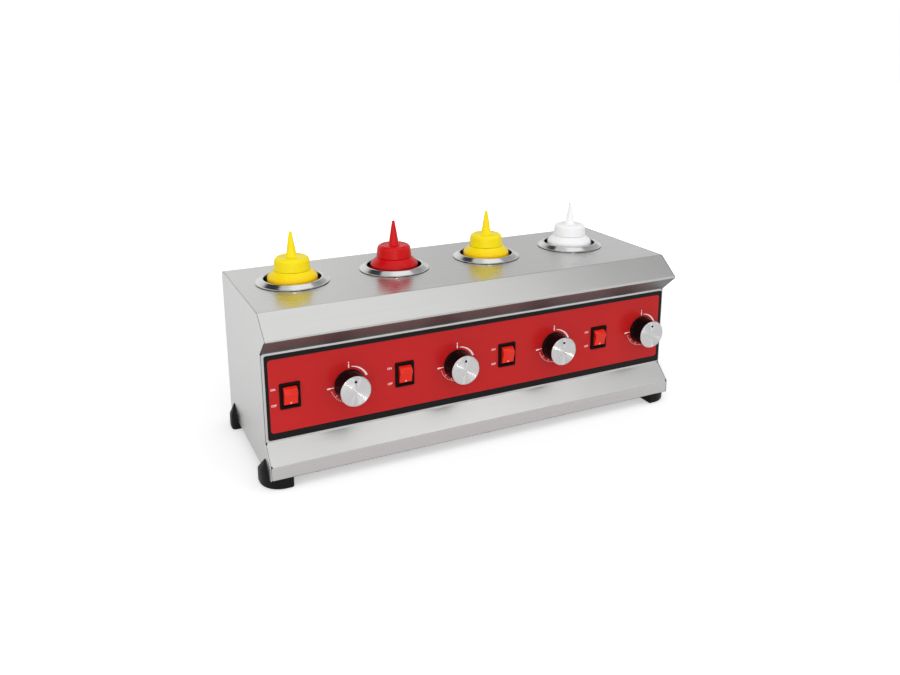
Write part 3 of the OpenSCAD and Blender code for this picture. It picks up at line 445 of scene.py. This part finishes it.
# Spun metal: grooves run round each axis, so light smears along the radius. Their height leans the normal by
# s / 2 sin(2 pi f (radius + depth) + drift). x is measured from the nearest axis of the row:
# ((x - x0 + p / 2) mod p) - p / 2
def spunMetal(name, look, centre, pitch, axis):
    material, sheet = newSheet(name)
    x, y, z = sheet.place()
    fromAxis = (x - (float(centre[0]) - pitch / 2)) % pitch - pitch / 2
    if axis == "z":
        other, depth, along = y - float(centre[1]), z, (0, 0, 1)
        out = sheet.vector(fromAxis, other, 0.0)
    else:
        other, depth, along = z - float(centre[2]), y, (0, 1, 0)
        out = sheet.vector(fromAxis, 0.0, other)
    radius = sheet.length(fromAxis, other)
    angle = sheet.node("ShaderNodeMath", {"operation": "ARCTAN2"}, [other, fromAxis])
    drift = sheet.noise(radius, depth, angle, (look["line"], look["line"], look["run"]), 3.0)
    groove = (radius + depth) * (2 * math.pi * look["line"]) + drift * look["drift"]
    line = groove.calc("SINE", groove) * 0.5 + 0.5
    spin = sheet.vectors("NORMALIZE", sheet.vectors("CROSS_PRODUCT", along, out))
    spin = sheet.node("ShaderNodeVectorTransform", {
        "vector_type": "VECTOR", "convert_from": "OBJECT", "convert_to": "WORLD"}, [spin])
    normal = sheet.node("ShaderNodeNewGeometry", give="Normal")
    across = sheet.vectors("CROSS_PRODUCT", normal, spin)
    leaned = sheet.vectors("ADD", normal, sheet.scaled(across, (line - 0.5) * look["smear"]))
    smudge = sheet.noise(x, y, z, (0.05, 0.05, 0.05), 3.0)
    tone = 1 + (line - 0.5) * look["rings"] + (smudge - 0.5) * 0.05
    sheet.shade({
        "Base Color": sheet.vectors("MULTIPLY", look["colour"], sheet.grey(tone)), "Metallic": 1.0,
        "Roughness": look["rough"] + (smudge - 0.5) * 0.05, "Normal": sheet.vectors("NORMALIZE", leaned)})
    return material


# Moulded plastic or rubber: mottled colour, satin that varies, and a fine grain in the surface. "pip" is a pale
# dot on each rocker of the row, at (x, z) with a radius, and "low" is painted shade where a bottle stands in its
# well
def moulded(name, look):
    material, sheet = newSheet(name)
    x, y, z = sheet.place()
    fine = sheet.noise(x, y, z, (look["grain"],) * 3, 3.0)
    cloud = sheet.noise(x, y, z, (0.04, 0.04, 0.04), 4.0)
    colour = sheet.mixed(cloud, look["colour"], look["second"])
    if "pip" in look:
        pipX, pipZ, radius = look["pip"]
        fromAxis = (x - (float(pipX) - controlPitch / 2)) % controlPitch - controlPitch / 2
        pip = sheet.ink(sheet.length(fromAxis, z - float(pipZ)) - radius, 0.3)
        colour = sheet.mixed(pip, colour, screen(250, 170, 150))
    if "low" in look:
        # Painted shade: a bottle is darker and more orange low down, where it stands in its well
        colour = sheet.mixed(sheet.step(z, topZ + 6, topZ + 17), look["low"], colour)
    sheet.shade({
        "Base Color": colour,
        "Roughness": look["rough"] + (cloud - 0.5) * look["vary"] + (fine - 0.5) * 0.06,
        "Normal": sheet.bump(fine, look["strength"], look["depth"]), **look.get("fixed", {})})
    return material


steelAlongX = brushedSheet("steel_brushed_across", sheetLook, "x")
steelAlongY = brushedSheet("steel_brushed_deep", {**sheetLook, "smear": 0.16}, "y")
dress(steelAlongX, "top_front_cover", "back_panel", "base_plate")
dress(steelAlongY, "left_side_panel", "right_side_panel")
wellSteel = spunMetal("steel_spun", {
    "colour": (0.62, 0.62, 0.615), "rough": 0.15, "smear": 0.14, "line": 2.2, "run": 0.6, "drift": 12.0,
    "rings": 0.03}, wellAxis[1], wellPitch, "z")
faceAluminium = spunMetal("aluminium_spun", {
    "colour": (0.63, 0.63, 0.63), "rough": 0.11, "smear": 1.15, "line": 1.7, "run": 0.9, "drift": 12.0,
    "rings": 0.05}, knobAxis[1], controlPitch, "y")
print("metals ready")

# Printed film: a red field in a black border, and a dial round every knob. Its dots and long ticks stand at steps
# of the angle, in degrees clockwise from the top. Each mark is its angle, its two radii and its half width
filmLook = {"red": screen(204, 33, 34), "black": screen(7, 6, 8), "white": screen(255, 240, 238),
            "left": 4.0, "right": 4.7, "top": 6.0, "bottom": 9.0, "corner": 4.0, "rough": 0.26,
            "dialRadius": 24.0, "dotStep": 7.2, "dotFrom": 88.0, "dotTo": 258.0, "dot": 0.6,
            "tickEvery": 4.0, "tickRadius": 22.2, "tickWide": 0.38, "tickLong": 1.9,
            "wedgeFrom": 9.0, "wedgeTo": 71.0, "wedgeRadius": 23.3, "wedgeDrift": 1.5, "wedgeThin": 0.45,
            "wedgeGrow": 0.95,
            "marks": ((0.0, 22.3, 26.4, 0.75), (0.0, 28.6, 29.0, 0.75), (266.0, 20.6, 25.0, 0.45),
                      (266.0, 25.2, 28.4, 0.95))}


# Distances in millimetres, each made ink where it is below 0: field = rounded rectangle; dots and ticks = the
# nearest step of the angle; wedge = a band round the dial whose half width grows with the angle; marks = short
# radial lines with round ends
def printedFilm(name, look):
    material, sheet = newSheet(name)
    x, y, z = sheet.place()
    x0, x1 = float(filmLow[0]) + look["left"], float(filmHigh[0]) - look["right"]
    z0, z1 = float(filmLow[2]) + look["bottom"], float(filmHigh[2]) - look["top"]
    qx = abs(x - (x0 + x1) / 2) - ((x1 - x0) / 2 - look["corner"])
    qz = abs(z - (z0 + z1) / 2) - ((z1 - z0) / 2 - look["corner"])
    outside = sheet.length(sheet.most(qx, 0.0), sheet.most(qz, 0.0))
    field = outside + sheet.least(sheet.most(qx, qz), 0.0) - look["corner"]

    dx = (x - (float(knobAxis[1][0]) - controlPitch / 2)) % controlPitch - controlPitch / 2
    dz = z - controlZ
    r = sheet.length(dx, dz)
    angle = (sheet.node("ShaderNodeMath", {"operation": "ARCTAN2"}, [dx, dz]) * (180 / math.pi)) % 360.0
    turnsOn = (angle - look["dotFrom"]) / look["dotStep"]
    nearest = turnsOn.calc("ROUND", turnsOn)
    offset = (turnsOn - nearest) * (look["dotStep"] * math.pi / 180) * r
    onScale = sheet.ink(look["dotFrom"] - 1 - angle, 0.5) * sheet.ink(angle - look["dotTo"], 0.5)
    dots = sheet.ink(sheet.length(offset, r - look["dialRadius"]) - look["dot"]) * onScale
    atTick = sheet.ink(abs(nearest % look["tickEvery"]) - 0.5)
    ticks = sheet.ink(sheet.most(abs(offset) - look["tickWide"],
                                 abs(r - look["tickRadius"]) - look["tickLong"])) * atTick * onScale
    grow = (angle - look["wedgeFrom"]) / (look["wedgeTo"] - look["wedgeFrom"])
    fromBand = abs(r - (look["wedgeRadius"] + grow * look["wedgeDrift"]))
    wedge = sheet.ink(sheet.most(fromBand - (look["wedgeThin"] + grow * look["wedgeGrow"]),
                                 (look["wedgeFrom"] - angle) * 0.4, (angle - look["wedgeTo"]) * 0.4))
    marks = []
    for at, near, far, half in look["marks"]:
        t = math.radians(at)
        along = dx * math.sin(t) + dz * math.cos(t)
        aside = dx * math.cos(t) - dz * math.sin(t)
        past = sheet.most(abs(along - (near + far) / 2) - (far - near) / 2, 0.0)
        marks.append(sheet.ink(sheet.length(past, aside) - half))
    white = sheet.most(dots, ticks, wedge, *marks)
    cloud = sheet.noise(x, y, z, (0.01, 0.01, 0.01), 3.0)
    peel = sheet.noise(x, y, z, (0.9, 0.9, 0.9), 2.0)
    red = sheet.mixed(cloud, look["red"], tuple(0.87 * c for c in look["red"][:3]) + (1.0,))
    colour = sheet.mixed(sheet.ink(field), look["black"], sheet.mixed(white, red, look["white"]))
    sheet.shade({"Base Color": colour, "Roughness": look["rough"] + (cloud - 0.5) * 0.06,
                 "Specular IOR Level": 0.2, "Normal": sheet.bump(peel, 0.04, 0.05)})
    return material


dress(printedFilm("film_print", filmLook), "control_overlay")

# Lettering beside the switches, cut from text and laid on the film; left and rise are from the switch's middle
labelLook = {"size": 3.8, "left": 23.6, "rise": 10.5, "lift": 0.06, "thick": 0.03, "bold": 0.14}
labelInk = moulded("label_ink", {"colour": screen(255, 214, 210), "second": screen(250, 204, 200), "grain": 3.0,
                                 "rough": 0.4, "vary": 0.05, "strength": 0.02, "depth": 0.02})


# Flat letters: the text's outline is made a mesh, then stands in the plane of the film at (x, z)
def letters(words, x, z):
    text = bpy.data.curves.new("letters", "FONT")
    text.body, text.size, text.align_x, text.align_y = words, labelLook["size"], "LEFT", "CENTER"
    text.extrude, text.offset = labelLook["thick"], labelLook["bold"]
    holder = bpy.data.objects.new("letters", text)
    bpy.context.scene.collection.objects.link(holder)
    flat = holder.evaluated_get(bpy.context.evaluated_depsgraph_get()).to_mesh()
    points = np.zeros(len(flat.vertices) * 3)
    flat.vertices.foreach_get("co", points)
    points = points.reshape(-1, 3)
    faces = [list(polygon.vertices) for polygon in flat.polygons]
    bpy.data.objects.remove(holder)
    points = np.stack([x + points[:, 0], filmY - labelLook["lift"] - points[:, 2], z + points[:, 1]], -1)
    return points, faces


words = [letters(word, float(switchAxis[i][0]) - labelLook["left"], controlZ + rise)
         for i in stations for word, rise in (("ON", labelLook["rise"]), ("OFF", -labelLook["rise"]))]
addPiece("switch_labels", together(*words), labelInk, "cabinet")
print("film and labels ready")

# Wells: a spun collar with a rolled rim, a straight wall and a rounded floor. The section starts at the collar's
# lip, runs down the inside to the axis and back up the outside, and is closed at the lip
wellLook = {"collar": 49.0, "rim": 41.2, "bore": 38.0, "sheet": 1.0, "lip": 0.7, "floorRadius": 6.0}


def wellShape(i):
    look = wellLook
    low, high = corners(f"well_{i}")
    top, floorZ, t = float(high[2]), float(low[2]), look["sheet"]
    skin = roundedPath([(look["collar"], topZ + t + look["lip"] * 0.5),
                        (look["collar"] - 1.8, topZ + t + look["lip"] * 0.4),
                        (look["rim"], top), (look["bore"], top), (look["bore"], floorZ + t), (0, floorZ + t)],
                       [1.2, 1.55, 1.5, look["floorRadius"]])
    under = roundedPath([(0, floorZ), (look["bore"] + t, floorZ), (look["bore"] + t, top - 1.6),
                         (look["rim"] - 0.7, top - 1.2), (look["collar"] - 2.6, topZ + 0.02),
                         (look["collar"], topZ + look["lip"])],
                        [look["floorRadius"] + t, 0.5, 0.8, 0.8])
    return turned(np.concatenate([skin, under]), wellAxis[i], "z", 144)


for i in stations:
    addPiece(f"well_shell_{i}", wellShape(i), wellSteel, "cabinet", (f"well_{i}",))
print("wells ready")

# Bottles and their caps in soft moulded plastic
bottleColours = {1: "bottle_yellow", 2: "bottle_red", 3: "bottle_yellow", 4: "bottle_white"}
# Each "low" colour is painted shade, low on the bottle where it stands in its well
softLook = {
    "bottle_yellow": {"colour": screen(255, 232, 10), "second": screen(255, 226, 8),
                      "low": screen(255, 208, 2)},
    "bottle_red": {"colour": screen(214, 2, 10), "second": screen(204, 0, 8),
                   "low": screen(190, 0, 6)},
    "bottle_white": {"colour": screen(253, 253, 254), "second": screen(250, 250, 252),
                     "low": screen(248, 248, 250)},
}
softFixed = {"Specular IOR Level": 0.22, "Subsurface Weight": 0.15, "Subsurface Radius": (0.8, 0.7, 0.6),
             "Subsurface Scale": 0.005}
soft = {name: moulded(name, {**colours, "grain": 1.2, "rough": 0.34, "vary": 0.10, "strength": 0.05,
                             "depth": 0.05, "fixed": softFixed})
        for name, colours in softLook.items()}
bottleLook = {"wall": 1.6, "heel": 4.0, "shoulder": 7.6, "shoulderHeight": 7.8, "neck": 19.5, "neckHeight": 15.0,
              "pitch": 3.6, "thread": 0.8, "push": 1.6}


# Bottle: a round shell with a pushed-up floor, and a thread on its neck. Its radius is
# the neck's + rise clip(1.6 - 5 |u - 1/2|, 0, 1), where u = ((h - start) / pitch - a / 2 pi) mod 1. It fades out
# at both ends
def bottleShape(i):
    look = bottleLook
    low, high = corners(f"bottle_{i}")
    r, base, lip = float(high[0] - low[0]) / 2, float(low[2]), float(high[2])
    neckFoot = lip - look["neckHeight"]
    corner = neckFoot - look["shoulderHeight"]
    root, t = look["neck"] - look["thread"], look["wall"]
    outer = roundedPath([(0, base + look["push"]), (r - 9, base + look["push"] * 0.8), (r - 6, base),
                         (r, base), (r, corner), (look["neck"] + 4.6, neckFoot), (root, neckFoot),
                         (root, lip), (root - 1.3, lip)],
                        [1, 1, look["heel"], look["shoulder"], 0.8, 0.6, 0.5], 10)
    inner = roundedPath([(root - 1.3, lip), (root - 1.3, neckFoot - 1.4), (look["neck"] + 3.4, neckFoot - 1.4),
                         (r - t, corner - 0.6), (r - t, base + t), (r - 6, base + t),
                         (r - 9, base + t + look["push"]), (0, base + t + look["push"])],
                        [0.6, 0.8, look["shoulder"] - t, look["heel"] - t, 1, 1], 8)
    path = np.concatenate([filled(outer, 1.0), inner[1:]])
    keep = np.concatenate([[True], np.linalg.norm(np.diff(path, axis=0), axis=1) > 1e-4])

    def thread(radius, h, a):
        turnsUp = ((h - neckFoot - 2.5) / look["pitch"] - a / (2 * math.pi)) % 1
        ridge = np.clip(1.6 - np.abs(turnsUp - 0.5) * 5, 0, 1)
        inside = np.clip((h - neckFoot - 2.0) * 1.2, 0, 1) * np.clip((lip - 1.8 - h) * 1.2, 0, 1)
        return look["thread"] * ridge * inside * (np.abs(radius - root) < 0.05)

    return turned(path[keep], wellAxis[i], "z", 120, thread)


capLook = {"taper": 2.0, "height": 17.0, "edge": 5.6, "dish": 0.5, "nozzle": 7.0, "tip": 1.9, "hole": 1.0,
           "bore": 19.8, "wall": 1.8, "line": 0.1, "lineWide": 0.03}


# Cap: a slightly conical skirt, a rim round a shallow dish and a nozzle. Two faint parting lines half a turn apart
# swell the skirt by line exp(-(d / wide)^2), with d the angle from the nearer one
def capShape(i):
    look = capLook
    low, high = corners(f"nozzle_cap_{i}")
    foot, tip = float(low[2]), float(high[2])
    top, wide = foot + look["height"], float(high[0] - low[0]) / 2
    crown = wide - look["taper"]
    outer = roundedPath([(look["bore"], foot), (wide, foot), (crown, top), (crown - 6.2, top),
                         (crown - 7.0, top - look["dish"]), (look["nozzle"] + 0.3, top - look["dish"]),
                         (look["tip"], tip), (look["hole"], tip)],
                        [0.8, look["edge"], 0.5, 0.5, 2.6, 0.7], 8)
    inner = np.array([(look["hole"], tip - 4), (look["nozzle"] - look["wall"] - 0.4, top),
                      (look["nozzle"] - look["wall"], foot + 14.7), (look["bore"], foot + 14.7)])
    path = np.concatenate([outer, inner])

    def parting(radius, h, a):
        line = np.exp(-((np.abs((a + 0.9) % math.pi - math.pi / 2)) / look["lineWide"]) ** 2)
        side = (h > foot + 1) & (h < top - 3) & (radius > crown - 1)
        return look["line"] * line * side

    skirt = 14  # points of the path up to the rim
    path = np.concatenate([filled(path[:skirt], 2.0), path[skirt:]])
    return turned(path, wellAxis[i], "z", 144, parting)


for i in stations:
    colour = bottleColours[i]
    addPiece(f"bottle_shell_{i}", bottleShape(i), soft[colour], f"bottle_{i}_body", (f"bottle_{i}",))
    addPiece(f"cap_shell_{i}", capShape(i), soft[colour], f"nozzle_cap_{i}_body", (f"nozzle_cap_{i}",))
print("bottles ready")

# Knobs: a gloss black moulding behind the aluminium face
knobBlack = moulded("knob_black", {"colour": screen(9, 8, 9), "second": screen(14, 12, 14), "grain": 2.5,
                                   "rough": 0.30, "vary": 0.08, "strength": 0.03, "depth": 0.02,
                                   "fixed": {"Specular IOR Level": 0.08}})
knobLook = {"side": 19.2, "ring": 20.0, "ringHeight": 3.5, "hub": 6.5, "wall": 2.4}


def knobShape(i):
    look = knobLook
    low, high = corners(f"knob_{i}")
    front, back = float(low[1]), float(high[1])
    path = roundedPath([(0, front), (look["side"], front), (look["side"], back - look["ringHeight"]),
                        (look["ring"], back - look["ringHeight"] + 0.3), (look["ring"], back),
                        (look["side"] - look["wall"], back),
                        (look["side"] - look["wall"], front + look["wall"]),
                        (look["hub"], front + look["wall"]), (look["hub"], back - 2), (0, back - 2)],
                       [0.4, 0.5, 0.6, 0.6, 0.4, 0.5, 0.5, 0.3], 6)
    return turned(path, knobAxis[i], "y", 120)


for i in stations:
    addPiece(f"knob_shell_{i}", knobShape(i), knobBlack, f"knob_{i}_body", (f"knob_{i}",))
    dress(faceAluminium, f"knob_face_{i}")
print("knobs ready")

# Switches: a bezel with a rounded edge and a raised inner lip, its body behind the panel, and a red rocker
switchBlack = moulded("switch_black", {"colour": screen(10, 8, 9), "second": screen(15, 12, 13), "grain": 3.0,
                                       "rough": 0.34, "vary": 0.08, "strength": 0.06, "depth": 0.02,
                                       "fixed": {"Specular IOR Level": 0.08}})
switchLook = {"bezel": (13.0, 16.75), "corner": 1.5, "thick": 2.2, "window": (8.8, 13.3), "pocket": 10.5,
              "body": (11.0, 14.3), "depth": 24.0, "tab": (0.4, 3.15), "tabLength": 8.0, "tabOut": 5.0}


# Each ring is its half width, half height, corner radius and depth y
def housingShape(i):
    look = switchLook
    w, h = look["bezel"]
    ww, wh = look["window"]
    bw, bh = look["body"]
    corner, tabWide, tabHigh = look["corner"], *look["tab"]
    front, back = filmY - look["thick"], filmHigh[1] + look["depth"]
    pocket = front + look["pocket"]
    centre = switchAxis[i] * [1, 1, 0] + [0, 0, controlZ]
    bezelRings = [(w, h, corner, filmY), (w, h, corner, front + 0.7), (w - 0.25, h - 0.25, 1.3, front + 0.2),
                  (w - 0.8, h - 0.8, 0.9, front), (ww + 1.6, wh + 1.6, 0.9, front),
                  (ww + 1.35, wh + 1.35, 0.8, front), (ww + 1.2, wh + 1.2, 0.7, front + 0.45),
                  (ww + 0.4, wh + 0.4, 0.5, front + 0.45), (ww, wh, 0.4, front + 0.8), (ww, wh, 0.4, pocket),
                  (bw, bh, 0.8, pocket), (bw, bh, 0.8, filmY)]
    bodyRings = [(bw, bh, 0.8, pocket), (bw, bh, 0.8, back - 0.5), (bw - 0.5, bh - 0.5, 0.6, back)]
    bezel, body = [skinned([cornerRing(*ring[:3]) for ring in rings], [ring[3] for ring in rings], centre, closed)
                   for rings, closed in ((bezelRings, True), (bodyRings, False))]
    tabs = [skinned([cornerRing(tabWide, tabHigh, 0.2, 3)] * 2, [back, back + look["tabLength"]],
                    centre + [side * look["tabOut"], 0, 0]) for side in (-1, 1)]
    return together(bezel, body, *tabs)


rockerRed = moulded("rocker_red", {"colour": screen(240, 44, 22), "second": screen(230, 34, 20), "grain": 1.5,
                                   "rough": 0.22, "vary": 0.06, "strength": 0.02, "depth": 0.02,
                                   "fixed": {"Specular IOR Level": 0.25},
                                   "pip": (switchAxis[1][0], controlZ - 8.2, 1.2)})
rockerLook = {"radius": 13.0, "horn": 56.0, "sole": 10.0, "valley": 0.8, "half": 8.5, "tilt": 14.0, "pin": 1.2,
              "pivotBack": 4.1, "edge": 0.5}


# Rocker outline, u forward and v up: an arc of the radius from the sole to the horn, a shallow valley across the
# front and the arc back, turned by the tilt about the pivot: (u cos t + v sin t, v cos t - u sin t)
def rockerShape(i):
    look = rockerLook
    r, half, edge = look["radius"], look["half"], look["edge"]
    horn = math.radians(look["horn"])
    arc = np.linspace(math.radians(look["sole"]), horn, 14)
    valley = np.linspace(1, -1, 13)[1:-1]
    u = np.concatenate([r * np.sin(arc), r * math.sin(horn) - look["valley"] * (1 - valley ** 2),
                        r * np.sin(arc[::-1]), [-2.4, -2.4]])
    v = np.concatenate([r * np.cos(arc), r * math.cos(horn) * valley, -r * np.cos(arc[::-1]), [-3.6, 3.6]])
    t = math.radians(look["tilt"])
    u, v = u * math.cos(t) + v * math.sin(t), v * math.cos(t) - u * math.sin(t)
    middleU, middleV, count = u.mean(), v.mean(), len(u)
    axisX, pivotY = float(switchAxis[i][0]), filmY + look["pivotBack"]
    rows = []
    for x, shrink in ((-half, edge), (-half + 0.15, edge * 0.35), (-half + edge, 0.0),
                      (half - edge, 0.0), (half - 0.15, edge * 0.35), (half, edge)):
        k = 1 - shrink / r
        rows.append(np.stack([np.full(count, x + axisX), pivotY - (middleU + (u - middleU) * k),
                              controlZ + middleV + (v - middleV) * k], -1))
    ends = [list(range(count)), list(range((len(rows) - 1) * count, len(rows) * count))]
    faces = gridFaces(len(rows), count).tolist() + ends
    reach = half + 1.3
    pin = np.array([(0, -reach), (look["pin"], -reach), (look["pin"], reach), (0, reach)])
    pinPoints, pinFaces = turned(pin, (0, 0, 0), "z", 24)
    back, up, across = pinPoints.T
    pinPoints = np.stack([across + axisX, back + pivotY, up + controlZ], -1)
    return together((np.concatenate(rows), faces), (pinPoints, pinFaces))


for i in stations:
    addPiece(f"switch_shell_{i}", housingShape(i), switchBlack, "cabinet", (f"switch_housing_{i}",))
    addPiece(f"rocker_shell_{i}", rockerShape(i), rockerRed, f"rocker_{i}_body", (f"rocker_{i}",),
             25)
print("switches ready")

rubber = moulded("foot_rubber", {"colour": screen(11, 11, 11), "second": screen(18, 18, 19), "grain": 1.6,
                                 "rough": 0.42, "vary": 0.12, "strength": 0.10, "depth": 0.05,
                                 "fixed": {"Specular IOR Level": 0.14}})
footLook = {"wide": 37.0, "long": 40.0, "bulge": 8.0, "tall": 14.5, "corners": (28.0, 6.0, 2.5, 2.5), "edge": 3.5,
            "lip": 0.8, "shaft": 4.5, "apex": 24.0, "bore": 5.5, "boreDeep": 6.0, "hole": 2.2, "screw": 20.0}


# Outline of the foot set in by k: its four corners, from the outer front one on, are arcs of their radius less k
def footRing(k):
    w, l = footLook["wide"], footLook["long"]
    spots = ((k, k, 1, 1), (k, l - k, 1, -1), (w - k, l - k, -1, -1), (w - k, k, -1, 1))
    arcs = []
    for (u, v, su, sv), radius, first in zip(spots, footLook["corners"], (270, 180, 90, 0)):
        r = max(radius - k, 0.3)
        t = np.radians(first - np.linspace(0, 90, 13))
        arcs.append(np.stack([u + su * r + r * np.cos(t), v + sv * r + r * np.sin(t)], -1))
    return np.concatenate(arcs)


# Corner foot: rings of the outline stacked up from a rounded lower edge, and from below a bore and a screw hole;
# its fin scales the outer part of the outline about the apex by k(t) = 0.92 (1 - t) + 0.08 sqrt(1 - t t)
def footShape(name):
    look = footLook
    low, high = corners(name)
    e, tall, centre = look["edge"], look["tall"], np.array([look["screw"], look["apex"]])

    def circle(r):
        away = footRing(0) - centre
        return centre + r * away / np.linalg.norm(away, axis=1, keepdims=True)

    steps = np.radians(np.linspace(0, 90, 7))
    levels = [(circle(look["hole"]), tall), (circle(look["hole"]), look["boreDeep"]),
              (circle(look["bore"]), look["boreDeep"]), (circle(look["bore"]), 0.3),
              (circle(look["bore"] + 0.3), 0.0)]
    levels += [(footRing(e * (1 - math.sin(t))), e * (1 - math.cos(t))) for t in steps]
    levels += [(footRing(look["lip"] * (1 - math.cos(t))), tall - look["lip"] * (1 - math.sin(t))) for t in steps]
    rings = np.stack([np.concatenate([ring, np.full((len(ring), 1), z)], 1) for ring, z in levels])
    block = rings.reshape(-1, 3), gridFaces(len(levels), rings.shape[1], True)

    outline = footRing(0.15)
    side = filled(np.concatenate([[[look["bulge"], 8.6]], outline[outline[:, 0] < look["bulge"]],
                                  [[look["bulge"], look["long"] - 0.15]]]), 2.0)
    apex = np.array([look["bulge"], look["apex"]])
    top = float(high[2])
    foot = tall + look["shaft"]
    rows = [(1.0, tall - 2.0)]
    for t in np.sin(np.radians(np.linspace(0, 90, 15))):
        rows.append((0.92 * (1 - t) + 0.08 * math.sqrt(max(1 - t * t, 0)), foot + t * (top - foot)))
    fin = np.stack([np.concatenate([apex + k * (side - apex), np.full((len(side), 1), z)], 1) for k, z in rows])
    finFaces = gridFaces(len(rows), len(side)).tolist() + [list(range(len(side)))]

    points, faces = together(block, (fin.reshape(-1, 3), finFaces))
    x = low[0] + points[:, 0] if "left" in name else high[0] - points[:, 0]
    y = low[1] + points[:, 1] if "front" in name else high[1] - points[:, 1]
    return np.stack([x, y, low[2] + points[:, 2]], -1), faces


for name in ("front_left_foot", "front_right_foot", "back_left_foot", "back_right_foot"):
    addPiece(name + "_shell", footShape(name), rubber, "cabinet", (name,))
print("feet ready")

# Inner parts, which keep their CAD shapes
nylon = moulded("gland_nylon", {"colour": screen(26, 26, 27), "second": screen(34, 34, 36), "grain": 2.0,
                                "rough": 0.45, "vary": 0.10, "strength": 0.08, "depth": 0.03})
dress(nylon, "cord_gland", "gland_locknut")
dress(moulded("terminal_ivory", {"colour": screen(226, 220, 200), "second": screen(216, 208, 186), "grain": 2.0,
                                 "rough": 0.5, "vary": 0.1, "strength": 0.05, "depth": 0.03}), "terminal_block")
dress(moulded("loom_sleeve", {"colour": screen(60, 60, 66), "second": screen(40, 40, 46), "grain": 1.4,
                              "rough": 0.7, "vary": 0.1, "strength": 0.5, "depth": 0.3}), "wiring_harness")
dress(moulded("thermostat_case", {"colour": screen(30, 30, 34), "second": screen(40, 38, 40), "grain": 1.4,
                                  "rough": 0.5, "vary": 0.1, "strength": 0.1, "depth": 0.05}),
      *[f"thermostat_{i}" for i in stations])
screwSteel = brushedSheet("screw_steel", {**sheetLook, "colour": (0.62, 0.62, 0.63), "smear": 0.1}, "y")
dress(screwSteel, *[f"spindle_{i}" for i in stations])
dress(brushedSheet("heater_steel", {**sheetLook, "colour": (0.5, 0.49, 0.47), "rough": 0.35}, "x"),
      *[f"band_heater_{i}" for i in stations])
dress(brushedSheet("earth_brass", {**sheetLook, "colour": (0.75, 0.56, 0.24), "rough": 0.25}, "y"), "earth_stud")
print("inner parts dressed")

# Screws: where each row stands is read from the CAD node's box, whose edges are a head's radius beyond the axes
screwLook = {"head": 4.0, "tall": 2.2, "shank": 2.0, "pocket": 1.3, "slot": 0.42, "reach": 2.5, "row": 240.0,
             "lowRow": 260.0, "sheet": 1.0}


# Pan head screw: height = tall sqrt(1 - (r / head)^4), less a cross shaped pocket of depth
# pocket clip(1.5 - min(|u|, |v|) / slot, 0, 1) clip((reach - r) / 0.5, 0, 1); each place is (x, y, z) of its seat
def screws(places, length, back):
    look = screwLook
    r = np.concatenate([np.linspace(0, 2.6, 14), [3.0, 3.35, 3.65, 3.87, 4.0]])
    dome = look["tall"] * np.sqrt(np.clip(1 - (r / look["head"]) ** 4, 0, 1))
    shank = [(look["shank"], 0), (look["shank"], 1 - length), (look["shank"] - 0.8, -length), (0, -length)]
    points, faces = turned(np.concatenate([np.stack([r, dome], -1), shank]), (0, 0, 0), "z", 48)
    top = points[:len(r) * 48]
    arms = np.clip(1.5 - np.minimum(abs(top[:, 0]), abs(top[:, 1])) / look["slot"], 0, 1)
    top[:, 2] -= look["pocket"] * arms * np.clip((look["reach"] - np.hypot(top[:, 0], top[:, 1])) / 0.5, 0, 1)
    u, v, h = points.T
    return repeated((np.stack([u, h, v] if back else [u, v, -h], -1), faces), places)


low, high = corners("foot_screws")
footPlaces = [(x, y, low[2] + screwLook["tall"])
              for x in (low[0] + 4, high[0] - 4) for y in (low[1] + 4, high[1] - 4)]
pitchY, footTop = (high[1] - low[1] - 8) / 4, high[2]
low, high = corners("base_screws")
seat = low[2] + screwLook["tall"]
basePlaces = [(x, high[1] - 4 - k * pitchY, seat) for x in (low[0] + 4, high[0] - 4) for k in range(3)]
basePlaces += [(x, low[1] + 4, seat) for x in np.linspace(-screwLook["row"], screwLook["row"], 5)]
addPiece("foot_screw_shells", screws(footPlaces, float(footTop - footPlaces[0][2]), False), screwSteel, "cabinet",
         ("foot_screws",))
addPiece("base_screw_shells", screws(basePlaces, float(high[2] - seat), False), screwSteel, "cabinet",
         ("base_screws",))
low, high = corners("back_screws")
seat = high[1] - screwLook["tall"]
topRow, lowRow = high[2] - 4, low[2] + 4
sideRows = (topRow - 25.5, (topRow - 25.5 + lowRow + 21) / 2, lowRow + 21)
backPlaces = [(x, seat, z) for x in (low[0] + 4, high[0] - 4) for z in sideRows]
backPlaces += [(x, seat, topRow) for x in np.linspace(-screwLook["row"], screwLook["row"], 5)]
lowPlaces = [(x, seat - screwLook["sheet"], lowRow)
             for x in np.linspace(-screwLook["lowRow"], screwLook["lowRow"], 5)]
addPiece("back_screw_shells", together(screws(backPlaces, float(seat - low[1]), True),
                                       screws(lowPlaces, float(seat - low[1]) - screwLook["sheet"], True)),
         screwSteel, "cabinet", ("back_screws",))
print("screws ready")
